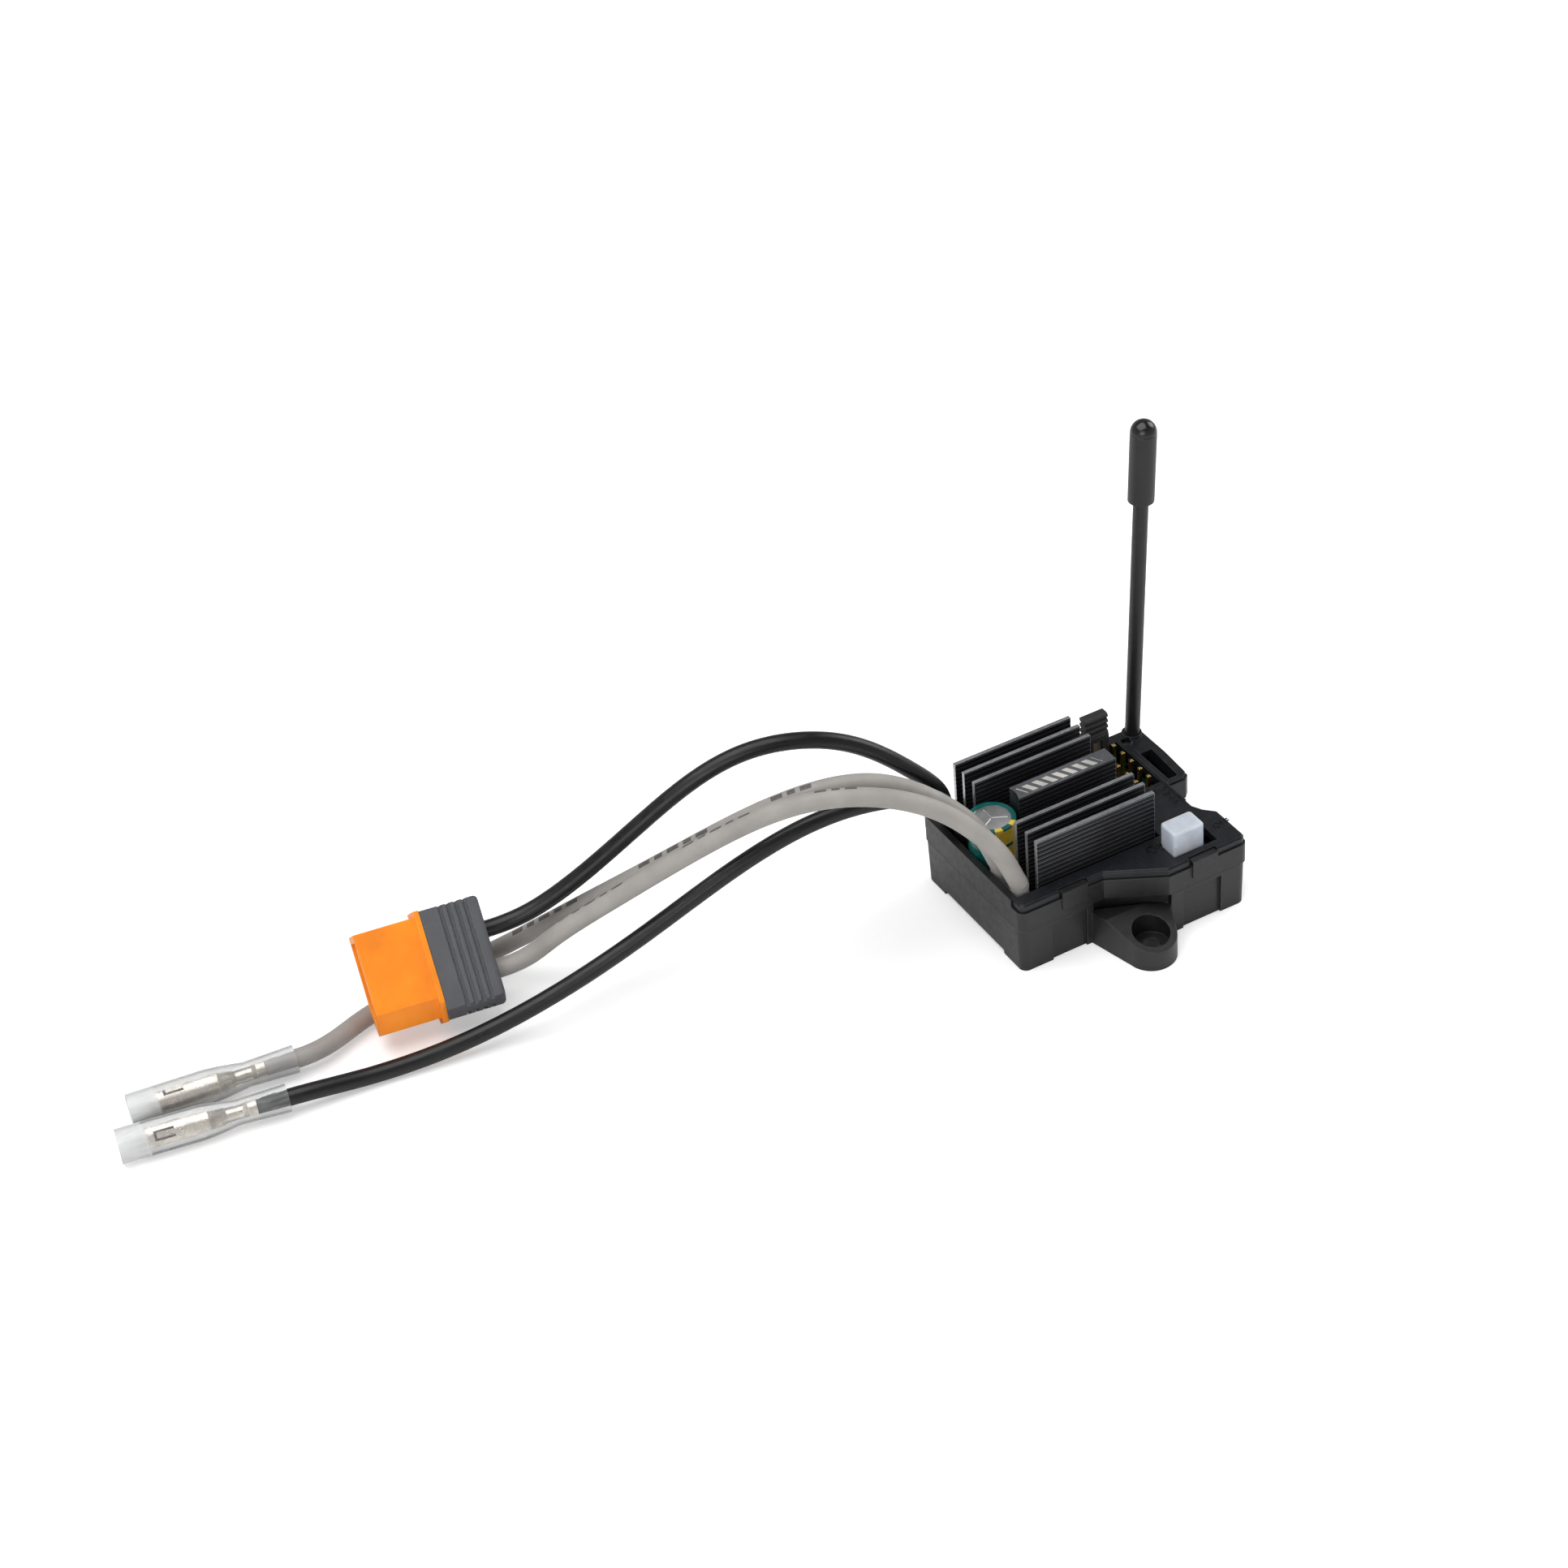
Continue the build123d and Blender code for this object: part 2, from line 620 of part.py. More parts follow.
def switch_frame():
    half = 4.4
    deep = 1.9
    shell = block(
        SWITCH_MIDDLE - half, SWITCH_MIDDLE + half, KNOB_Y - deep, KNOB_Y + deep, BOARD_TOP, SWITCH_TOP
    )
    shell = shell - block(
        SWITCH_MIDDLE - half + 0.4,
        SWITCH_MIDDLE + half - 0.4,
        KNOB_Y - deep + 0.4,
        KNOB_Y + deep - 0.4,
        BOARD_TOP + 0.8,
        SWITCH_TOP - 0.4,
    )
    reach = SWITCH_TRAVEL / 2 + STEM_HALF + 0.1
    shell = shell - block(
        SWITCH_MIDDLE - reach,
        SWITCH_MIDDLE + reach,
        KNOB_Y - 1.0,
        KNOB_Y + 1.0,
        SWITCH_TOP - 1,
        SWITCH_TOP + 1,
    )
    for x in switch_terminal_places():
        shell = shell - block(x - 0.3, x + 0.3, KNOB_Y - 0.2, KNOB_Y + 0.2, BOARD_TOP - 1, BOARD_TOP + 2)
    return shell


def switch_terminals():
    return [
        block(x - 0.3, x + 0.3, KNOB_Y - 0.2, KNOB_Y + 0.2, 3.2, BOARD_TOP + 1.0)
        for x in switch_terminal_places()
    ]


def switch_slider():
    shoe = block(KNOB_X - 2.4, KNOB_X + 2.4, KNOB_Y - 1.3, KNOB_Y + 1.3, SWITCH_TOP - 2.0, SWITCH_TOP - 0.5)
    stem = block(KNOB_X - STEM_HALF, KNOB_X + STEM_HALF, KNOB_Y - 0.9, KNOB_Y + 0.9, SWITCH_TOP - 1, 15.6)
    return shoe + stem


def switch_contact():
    """Sliding bridge under the shoe."""
    z = BOARD_TOP + 1.1
    return block(KNOB_X - 1.9, KNOB_X + 1.2, KNOB_Y - 0.5, KNOB_Y + 0.5, z, SWITCH_TOP - 2.0)


def switch_knob():
    half = KNOB_LENGTH / 2
    deep = KNOB_DEPTH / 2
    knob = block(KNOB_X - half, KNOB_X + half, KNOB_Y - deep, KNOB_Y + deep, CAP_SKIRT, KNOB_TOP)
    uprights = knob.edges().filter_by(Axis.Z)
    knob = fillet(uprights, 0.55)
    knob = fillet(knob.edges().group_by(Axis.Z)[-1], 0.4)
    socket = block(
        KNOB_X - STEM_HALF - 0.02,
        KNOB_X + STEM_HALF + 0.02,
        KNOB_Y - 0.92,
        KNOB_Y + 0.92,
        CAP_SKIRT - 1,
        15.6,
    )
    return knob - socket


# ---------------------------------------------------------------------------------------------
# Bind button and aerial
# ---------------------------------------------------------------------------------------------

BUTTON_TOP = TOP - 0.5
BUTTON_TRAVEL = 0.35
TACT_TOP = 8.6


def bind_switch():
    body = block(BUTTON_X - 1.3, BUTTON_X + 1.3, BUTTON_Y - 1.6, BUTTON_Y + 1.3, BOARD_TOP, TACT_TOP)
    return body - post(BUTTON_X, BUTTON_Y, TACT_TOP - 1.0, TACT_TOP + 1, 0.9)


def bind_button():
    stem = post(BUTTON_X, BUTTON_Y, TACT_TOP - 0.5, BUTTON_TOP, BUTTON_RADIUS)
    collar = post(BUTTON_X, BUTTON_Y, TACT_TOP + 0.5, TACT_TOP + 1.0, 1.1)
    return stem + collar


def antenna_axis():
    """Frame at the foot of the aerial, with Z along the tube."""
    return Location((ANTENNA_X, ANTENNA_Y, ANTENNA_FOOT), (ANTENNA_LEAN_Y, ANTENNA_LEAN_X, 0))


def antenna_tube():
    length = ANTENNA_LENGTH - 3.0
    tube = Pos(0, 0, length / 2) * (Cylinder(ANTENNA_RADIUS, length) - Cylinder(0.6, length + 2))
    return antenna_axis() * tube


def antenna_wire():
    length = ANTENNA_LENGTH - 6.0
    wire = antenna_axis() * Pos(0, 0, length / 2) * Cylinder(0.5, length)
    return wire + post(ANTENNA_X, ANTENNA_Y, BOARD_TOP, ANTENNA_FOOT + 0.3, 0.5)


def antenna_tip():
    base = ANTENNA_LENGTH - TIP_LENGTH
    shoulder = TIP_LENGTH - TIP_RADIUS
    tip = Pos(0, 0, base + shoulder / 2) * Cylinder(TIP_RADIUS, shoulder)
    tip = tip + Pos(0, 0, base + shoulder) * Sphere(TIP_RADIUS)
    tip = tip - Pos(0, 0, base + shoulder) * (Cylinder(TIP_RADIUS + 1, 0.15) - Cylinder(TIP_RADIUS - 0.08, 1))
    bore = TIP_LENGTH - 3.0 + 0.05
    tip = tip - Pos(0, 0, base + bore / 2 - 0.5) * Cylinder(ANTENNA_RADIUS + 0.02, bore + 1.0)
    return antenna_axis() * tip


# ---------------------------------------------------------------------------------------------
# Battery plug
# ---------------------------------------------------------------------------------------------

def plug_frame():
    """X towards the plug's mouth, Y across its width towards the table, Z out of its upper face."""
    yaw = math.radians(PLUG_YAW)
    lean = math.radians(PLUG_LEAN)
    mouth = (-math.cos(yaw), math.sin(yaw), 0)
    face = (-math.sin(yaw) * math.sin(lean), -math.cos(yaw) * math.sin(lean), math.cos(lean))
    return Plane(origin=PLUG_CENTRE, x_dir=mouth, z_dir=face)


def plug_section(width, thickness, x, bevel_y=3.2, bevel_z=2.0):
    """Section across the plug: a rectangle with both corners bevelled on the edge nearest the table."""
    w = width / 2
    t = thickness / 2
    points = [(-w, -t), (w - bevel_y, -t), (w, -t + bevel_z), (w, t - bevel_z), (w - bevel_y, t), (-w, t)]
    return make_face(Polyline(*[(x, y, z) for y, z in points], close=True))


def battery_plug_housing():
    along = (1, 0, 0)
    body = extrude(plug_section(PLUG_WIDTH, PLUG_THICKNESS - 0.6, 0), amount=HOUSING_LENGTH, dir=along)
    mouth = plug_section(PLUG_WIDTH - 2.4, PLUG_THICKNESS - 2.6, 2.5)
    cavity = extrude(mouth, amount=HOUSING_LENGTH, dir=along)
    flange = extrude(plug_section(FLANGE_WIDTH, PLUG_THICKNESS + 0.4, 0), amount=0.9, dir=along)
    body = body - cavity + flange
    for side in (-1, 1):
        hole = Rot(0, 90, 0) * Cylinder(CONTACT_RADIUS + 0.05, 8)
        body = body - Pos(0, side * CONTACT_SPACING / 2, 0) * hole
    return plug_frame() * body


def battery_plug_pins():
    pins = []
    for side in (-1, 1):
        pin = turned(
            [
                (-5.0, 1.05),
                (-5.0, 2.0),
                (-0.4, 2.0),
                (-0.4, CONTACT_RADIUS),
                (HOUSING_LENGTH - 2.0, CONTACT_RADIUS),
                (HOUSING_LENGTH - 1.2, CONTACT_RADIUS - 0.6),
                (HOUSING_LENGTH - 1.2, 0),
                (-1.4, 0),
                (-1.4, 1.05),
            ]
        )
        pins.append(plug_frame() * Pos(0, side * CONTACT_SPACING / 2, 0) * pin)
    return pins


def battery_plug_grip():
    section = plug_section(GRIP_WIDTH, PLUG_THICKNESS, -GRIP_LENGTH, bevel_y=1.6, bevel_z=1.6)
    grip = extrude(section, amount=GRIP_LENGTH, dir=(1, 0, 0))
    grip = fillet(grip.edges().group_by(Axis.X)[0], 0.9)
    for k in range(4):
        outer = Box(0.7, GRIP_WIDTH + 2, PLUG_THICKNESS + 2)
        inner = Box(1, GRIP_WIDTH - 0.8, PLUG_THICKNESS - 0.8)
        grip = grip - Pos(-3.4 - k * 1.35, 0, 0) * (outer - inner)
    for side, radius in ((-1, BLACK_RADIUS), (1, GREY_RADIUS)):
        bore = Pos(0, side * CONTACT_SPACING / 2, 0) * Rot(0, 90, 0)
        grip = grip - bore * Pos(0, 0, -2.6) * Cylinder(2.1, 5.3)
        grip = grip - bore * Pos(0, 0, -9) * Cylinder(radius + 0.12, 10)
    return plug_frame() * grip


# ---------------------------------------------------------------------------------------------
# Bullet terminals and their clear sleeves
# ---------------------------------------------------------------------------------------------

def terminal_frame(tail, yaw):
    """X from the sleeve's tail towards its mouth, lying flat."""
    angle = math.radians(yaw)
    origin = (tail[0], tail[1], TERMINAL_HEIGHT)
    return Plane(origin=origin, x_dir=(-math.cos(angle), math.sin(angle), 0), z_dir=(0, 0, 1))


def sleeve_profile(extra=0.0):
    """Outer radius of the sleeve along its length, less extra."""
    stations = [(0, 2.3), (4.5, 2.15), (8.0, 2.05), (11.5, 2.55), (14.0, 2.8), (SLEEVE_LENGTH, 2.8)]
    return [(x, r - extra) for x, r in stations]


def motor_sleeve(frame):
    ring = sleeve_profile() + sleeve_profile(SLEEVE_WALL)[::-1]
    return frame * turned(ring)


WIRE_STOP = 6.2             # insulation's end inside the sleeve
CORE_STOP = 9.8
BULLET_RADIUS = 2.0         # bore that takes a 4 mm bullet
WINDOW_TURNS = {"black": -50, "grey": -10}


def motor_terminal(frame, wire_radius, turn):
    """Crimped bullet socket. Its locking window is turned about the barrel, in degrees from up."""
    grip = turned(
        [
            (5.0, wire_radius + 0.02),
            (5.0, wire_radius + 0.14),
            (6.4, wire_radius + 0.14),
            (7.2, 1.15),
            (9.8, 1.15),
            (12.6, 2.3),
            (BARREL_MOUTH, 2.3),
            (BARREL_MOUTH, BULLET_RADIUS),
            (12.9, BULLET_RADIUS),
            (10.6, 0.9),
            (10.2, CORE_RADIUS + 0.02),
            (6.6, CORE_RADIUS + 0.02),
            (6.25, wire_radius + 0.02),
        ]
    )
    window = Pos(19.6, 0, 3) * Box(3.2, 1.6, 6)
    tongue = Pos(19.3, 0, 2.15) * Box(3.0, 0.9, 0.22)
    return frame * (grip - Rot(turn, 0, 0) * window + Rot(turn, 0, 0) * tongue)


# ---------------------------------------------------------------------------------------------
# Wires
# ---------------------------------------------------------------------------------------------

ARRIVING = (0.35, -0.15, -1)  # every wire's slope where it enters the case
FRENET_WIRES = ("battery_wire_black",)     # section turns with the curve, which keeps this sweep smooth


def wire_routes():
    """Each wire's straight start, as (inner end, outer end), and its points on the way to the case."""
    plug = plug_frame()
    black_tail = terminal_frame(BLACK_TAIL, BLACK_YAW)
    grey_tail = terminal_frame(GREY_TAIL, GREY_YAW)

    def from_plug(side):
        y = side * CONTACT_SPACING / 2
        return plug.from_local_coords((-5.6, y, 0)), plug.from_local_coords((-GRIP_LENGTH - 0.6, y, 0))

    def from_terminal(frame):
        return frame.from_local_coords((WIRE_STOP, 0, 0)), frame.from_local_coords((-0.6, 0, 0))

    return {
        "battery_wire_black": (
            from_plug(-1),
            [
                (-61, 42.7, 15.7),
                (-44.5, 38.2, 27.6),
                (-28.4, 33.9, 36.0),
                (-14.0, 30.0, 34.0),
                (-3.1, 27.1, 25.4),
                (1.2, 26.0, 19.9),
            ],
        ),
        "battery_wire_grey": (
            from_plug(1),
            [
                (-64.4, 37.7, 11.8),
                (-54.6, 32.0, 19.8),
                (-40.5, 25.3, 28.8),
                (-25.1, 18.3, 34.6),
                (-13.6, 12.9, 33.2),
                (-5.6, 9.1, 28.2),
                (0.3, 6.3, 20.6),
            ],
        ),
        "motor_wire_grey": (
            from_terminal(grey_tail),
            [
                (-95.0, 47.6, 2.3),
                (-82.0, 50.4, 2.0),
                (-69.0, 48.0, 5.3),
                (-59.0, 42.5, 11.6),
                (-47.7, 35.6, 19.4),
                (-36.4, 28.6, 27.4),
                (-24.9, 22.9, 32.8),
                (-14.5, 18.4, 33.4),
                (-6.0, 14.7, 28.6),
                (0.2, 11.9, 21.0),
            ],
        ),
        "motor_wire_black": (
            from_terminal(black_tail),
            [
                (-99.1, 35.7, 1.8),
                (-85.8, 33.8, 2.3),
                (-72.1, 31.9, 5.1),
                (-50.9, 29.0, 13.3),
                (-29.6, 26.0, 22.9),
                (-14.4, 23.9, 25.2),
                (-3.0, 22.6, 22.6),
            ],
        ),
    }


def wire_path(name):
    """The curved run of a wire, between its two straight ends."""
    (inner, outer), points = wire_routes()[name]
    drop = (PAD_X, PAD_YS[name], WIRE_DROP)
    leaving = Vector(*outer) - Vector(*inner)
    return Spline([outer] + points + [drop], tangents=[leaving, ARRIVING])


def bar_along(name, radius, lead, foot):
    """Round bar along a wire: lead mm longer at the plug or terminal, and down to height foot."""
    (start, bend), _ = wire_routes()[name]
    path = wire_path(name)
    forward = Vector(*bend) - Vector(*start)
    back = Plane(origin=Vector(*start) - forward.normalized() * lead, z_dir=forward)
    straight = extrude(back * Circle(radius), amount=forward.length + lead, dir=forward)
    section = Plane(origin=path @ 0, z_dir=path % 0) * Circle(radius)
    curved = sweep(section, path=path, is_frenet=name in FRENET_WIRES)
    return straight + curved + post(PAD_X, PAD_YS[name], foot, WIRE_DROP, radius)


def insulation(name, radius):
    return bar_along(name, radius, 0, WIRE_END) - bar_along(name, CORE_RADIUS, 1, WIRE_END - 1)


def core(name, lead):
    """Stranded conductor: bare for lead mm at the far end, and down through its pad."""
    return bar_along(name, CORE_RADIUS, lead, BOARD_BOTTOM - 0.4)


def wire_solder_joints():
    joints = []
    for y in PAD_YS.values():
        cone = Pos(PAD_X, y, BOARD_TOP + 0.6) * Cone(1.5, CORE_RADIUS + 0.15, 1.2)
        joints.append(cone - post(PAD_X, y, 0, 20, CORE_RADIUS))
    return joints


# ---------------------------------------------------------------------------------------------
# Build every node
# ---------------------------------------------------------------------------------------------

os.makedirs("parts", exist_ok=True)

write("lower_case", lower_case())
write("top_cover", top_cover())
write("heat_sink", heat_sink())
write("main_board", main_board())
write("power_mosfets", Compound(power_mosfets()))
write("thermal_pads", Compound(thermal_pads()))
write("motor_controller_chip", motor_controller_chip())
write("receiver_module", receiver_module())
write("receiver_shield", receiver_shield())
write("bec_regulator", bec_regulator())
write("bec_inductor", bec_inductor())
write("ceramic_capacitors", Compound(ceramic_capacitors()))
write("capacitor_can", capacitor_can())
write("capacitor_sleeve", capacitor_sleeve())
write("capacitor_leads", Compound(capacitor_leads()))
write("header_base", header_base())
write("header_pins", Compound(header_pins()))
write("jumper_body", jumper_body())
write("jumper_contact", jumper_contact())
write("switch_frame", switch_frame())
write("switch_terminals", Compound(switch_terminals()))
write("switch_slider", switch_slider())
write("switch_contact", switch_contact())
write("switch_knob", switch_knob())
write("bind_switch", bind_switch())
write("bind_button", bind_button())
write("antenna_tube", antenna_tube())
write("antenna_wire", antenna_wire())
write("antenna_tip", antenna_tip())
write("battery_plug_housing", battery_plug_housing())
write("battery_plug_pins", Compound(battery_plug_pins()))
write("battery_plug_grip", battery_plug_grip())

for colour, tail, yaw, radius in (
    ("black", BLACK_TAIL, BLACK_YAW, BLACK_RADIUS),
    ("grey", GREY_TAIL, GREY_YAW, GREY_RADIUS),
):
    frame = terminal_frame(tail, yaw)
    write("motor_terminal_" + colour, motor_terminal(frame, radius, WINDOW_TURNS[colour]))
    write("motor_sleeve_" + colour, motor_sleeve(frame))

for name, radius, lead in (
    ("battery_wire_black", BLACK_RADIUS, 3.9),
    ("battery_wire_grey", GREY_RADIUS, 3.9),
    ("motor_wire_grey", GREY_RADIUS, CORE_STOP - WIRE_STOP),
    ("motor_wire_black", BLACK_RADIUS, CORE_STOP - WIRE_STOP),
):
    write(name, insulation(name, radius))
    write(name + "_core", core(name, lead))

write("wire_solder_joints", Compound(wire_solder_joints()))
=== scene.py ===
import math

import bpy
from mathutils import Matrix, Vector


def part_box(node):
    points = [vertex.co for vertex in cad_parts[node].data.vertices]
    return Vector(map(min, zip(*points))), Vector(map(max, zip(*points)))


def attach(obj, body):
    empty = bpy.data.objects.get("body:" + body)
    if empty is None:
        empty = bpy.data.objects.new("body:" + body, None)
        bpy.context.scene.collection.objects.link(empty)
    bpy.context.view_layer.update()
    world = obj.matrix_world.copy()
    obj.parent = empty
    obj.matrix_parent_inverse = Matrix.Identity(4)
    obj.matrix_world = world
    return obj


# Looks for a brushed-motor speed controller with a built-in receiver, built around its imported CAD
# frame. Places come from the CAD nodes' boxes. Lengths in this file are in millimetres.

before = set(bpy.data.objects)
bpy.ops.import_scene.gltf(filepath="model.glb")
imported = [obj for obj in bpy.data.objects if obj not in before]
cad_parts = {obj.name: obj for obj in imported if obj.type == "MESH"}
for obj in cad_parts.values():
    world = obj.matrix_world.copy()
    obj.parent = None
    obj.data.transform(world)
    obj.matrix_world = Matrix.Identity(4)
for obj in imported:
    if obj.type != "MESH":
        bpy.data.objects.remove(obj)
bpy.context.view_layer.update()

MM = 0.001
COVER_TOP = 13.4            # top cover's upper face
GREY_RADIUS = 1.55          # grey wires' outer radius
CENTRE_FIN_HALF = 1.7       # half width of the heat sink's wide middle fin
BAR_PITCH = 1.9             # slanted bars on the middle fin
DASHES = (1.6, 0.7, 1.1, 0.7, 1.6, 0.7, 1.1, 0.7, 1.6, 9.0)     # dash and gap lengths in turn
DASH_HALF_ANGLE = math.radians(17)
DASH_CLEARANCE = 12.0       # a dash starts at least this far from the line's end
DASH_LIFT = 0.012           # ink's height over the wire
RIB_PITCH = 0.85            # pitch of the ribs on the fins' faces, which carry painted shade in each groove and a painted highlight on each lip

CASE_BLACK = (0.0085, 0.0087, 0.0094)
COVER_BLACK = (0.0072, 0.0080, 0.0104)


def low(node):
    """Lowest corner of a CAD node, in millimetres."""
    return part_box(node)[0] / MM


def high(node):
    """Highest corner of a CAD node, in millimetres."""
    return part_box(node)[1] / MM


def middle(node):
    return (low(node) + high(node)) / 2


# ---------------------------------------------------------------------------------------------
# Node graphs
# ---------------------------------------------------------------------------------------------

class Graph:
    """A material's node graph, with a short call for each kind of node used here."""

    def __init__(self, name):
        self.material = bpy.data.materials.new(name)
        self.material.use_nodes = True
        self.nodes = self.material.node_tree.nodes
        self.links = self.material.node_tree.links
        self.shader = self.nodes["Principled BSDF"]
        self.output = self.nodes["Material Output"]
        place = self.nodes.new("ShaderNodeTexCoord").outputs["Object"]
        millimetres = self.add("ShaderNodeVectorMath", operation="SCALE")
        self.join(place, millimetres.inputs[0])
        millimetres.inputs["Scale"].default_value = 1 / MM
        self.place = millimetres.outputs[0]
        self.true_normal = self.nodes.new("ShaderNodeNewGeometry").outputs["Normal"]

    def add(self, kind, **settings):
        node = self.nodes.new(kind)
        for key, value in settings.items():
            setattr(node, key, value)
        return node

    def join(self, value, socket):
        """Feed a socket, number or colour into an input."""
        if isinstance(value, bpy.types.NodeSocket):
            self.links.new(value, socket)
        elif isinstance(value, tuple) and len(value) == 3 and socket.type == "RGBA":
            socket.default_value = (*value, 1.0)
        else:
            socket.default_value = value

    def set(self, name, value):
        self.join(value, self.shader.inputs[name])

    def calculate(self, operation, a, b=0.0, clamp=False):
        node = self.add("ShaderNodeMath", operation=operation, use_clamp=clamp)
        self.join(a, node.inputs[0])
        self.join(b, node.inputs[1])
        return node.outputs[0]

    def times(self, a, b):
        return self.calculate("MULTIPLY", a, b)

    def plus(self, a, b):
        return self.calculate("ADD", a, b)

    def either(self, a, b):
        return self.calculate("MAXIMUM", a, b)

    def over(self, a, limit):
        return self.calculate("GREATER_THAN", a, limit)

    def under(self, a, limit):
        return self.calculate("LESS_THAN", a, limit)

    def between(self, a, start, end):
        return self.times(self.over(a, start), self.under(a, end))

    def ramp(self, value, start, end, first, last):
        """Carry value from the range start..end to first..last, held at both ends."""
        node = self.add("ShaderNodeMapRange", clamp=True)
        for name, item in (
            ("Value", value),
            ("From Min", start),
            ("From Max", end),
            ("To Min", first),
            ("To Max", last),
        ):
            self.join(item, node.inputs[name])
        return node.outputs["Result"]

    def noise(self, scale, detail=3.0, stretch=(1, 1, 1), spot=0.0):
        """Noise of about 0..1. scale is in features per millimetre."""
        mapping = self.add("ShaderNodeMapping")
        self.join(self.place, mapping.inputs["Vector"])
        mapping.inputs["Scale"].default_value = stretch
        mapping.inputs["Location"].default_value = (spot, spot * 0.7, spot * 1.3)
        node = self.add("ShaderNodeTexNoise")
        self.join(mapping.outputs[0], node.inputs["Vector"])
        node.inputs["Scale"].default_value = scale
        node.inputs["Detail"].default_value = detail
        return node.outputs["Fac"]

    def cells(self, scale):
        node = self.add("ShaderNodeTexVoronoi")
        self.join(self.place, node.inputs["Vector"])
        node.inputs["Scale"].default_value = scale
        return node.outputs["Distance"]

    def mix(self, share, first, second):
        node = self.add("ShaderNodeMix", data_type="RGBA")
        self.join(share, node.inputs["Factor"])
        self.join(first, node.inputs[6])
        self.join(second, node.inputs[7])
        return node.outputs[2]

    def axis(self, name):
        node = self.add("ShaderNodeSeparateXYZ")
        self.join(self.place, node.inputs[0])
        return node.outputs[name]

    def facing(self, name):
        node = self.add("ShaderNodeSeparateXYZ")
        self.join(self.true_normal, node.inputs[0])
        return node.outputs[name]

    def rounded(self, radius):
        """Normal with every sharp edge softened by radius."""
        node = self.add("ShaderNodeBevel", samples=4)
        node.inputs["Radius"].default_value = radius * MM
        return node.outputs[0]

    def edges(self, rounded):
        """1 on softened edges, 0 on the flats between them."""
        dot = self.add("ShaderNodeVectorMath", operation="DOT_PRODUCT")
        self.join(rounded, dot.inputs[0])
        self.join(self.true_normal, dot.inputs[1])
        return self.ramp(dot.outputs["Value"], 1.0, 0.86, 0.0, 1.0)

    def bump(self, height, depth, normal=None):
        """Relief of depth millimetres."""
        node = self.add("ShaderNodeBump")
        node.inputs["Distance"].default_value = depth * MM
        self.join(height, node.inputs["Height"])
        if normal is not None:
            self.join(normal, node.inputs["Normal"])
        return node.outputs[0]


def shade(colour, factor):
    return tuple(channel * factor for channel in colour)


# ---------------------------------------------------------------------------------------------
# Materials
# ---------------------------------------------------------------------------------------------

def moulded(name, colour, worn, roughness, grain=0.02, soften=0.18, specular=0.5, dust=0.25):
    """Moulded plastic or rubber: fine grain, cloudy gloss, paler rubbed edges and a little dust."""
    g = Graph(name)
    soft = g.rounded(soften)
    cloud = g.noise(0.16, 5.0)
    blotch = g.noise(0.9, 4.0, spot=31.0)
    grain_noise = g.noise(7.0, 2.0, spot=7.0)
    base = g.mix(g.ramp(cloud, 0.3, 0.7, 0.0, 1.0), shade(colour, 0.86), shade(colour, 1.16))
    rubbed = g.times(g.edges(soft), g.ramp(blotch, 0.3, 0.6, 0.25, 0.85))
    base = g.mix(rubbed, base, worn)
    specks = g.times(g.under(g.cells(1.6), 0.085), g.ramp(blotch, 0.5, 0.62, 0.0, 1.0))
    settled = g.times(g.ramp(g.facing("Z"), 0.4, 1.0, 0.0, dust), specks)
    base = g.mix(settled, base, (0.45, 0.44, 0.42))
    scuffs = g.noise(1.1, 3.0, stretch=(0.35, 3.5, 1.0), spot=3.0)
    cloudy = g.ramp(blotch, 0.25, 0.75, roughness - 0.07, roughness + 0.07)
    gloss = g.plus(cloudy, g.ramp(scuffs, 0.62, 0.8, 0.0, 0.08))
    g.set("Base Color", base)
    g.set("Roughness", gloss)
    g.set("Specular IOR Level", specular)
    relief = g.plus(grain_noise, g.times(scuffs, 0.35))
    g.set("Normal", g.bump(relief, grain, soft))
    return g


def metal(name, colour, roughness, grain=0.01, soften=0.08, brush=(1, 1, 1)):
    """Bare or plated metal: brushed relief, cloudy tarnish, brighter edges."""
    g = Graph(name)
    soft = g.rounded(soften)
    tarnish = g.noise(0.7, 5.0)
    lines = g.noise(5.0, 3.0, stretch=brush, spot=11.0)
    base = g.mix(g.ramp(tarnish, 0.35, 0.7, 0.0, 0.8), colour, shade(colour, 0.62))
    base = g.mix(g.edges(soft), base, shade(colour, 1.15))
    g.set("Base Color", base)
    g.set("Metallic", 1.0)
    g.set("Roughness", g.ramp(tarnish, 0.25, 0.75, roughness - 0.08, roughness + 0.12))
    g.set("Normal", g.bump(lines, grain, soft))
    return g


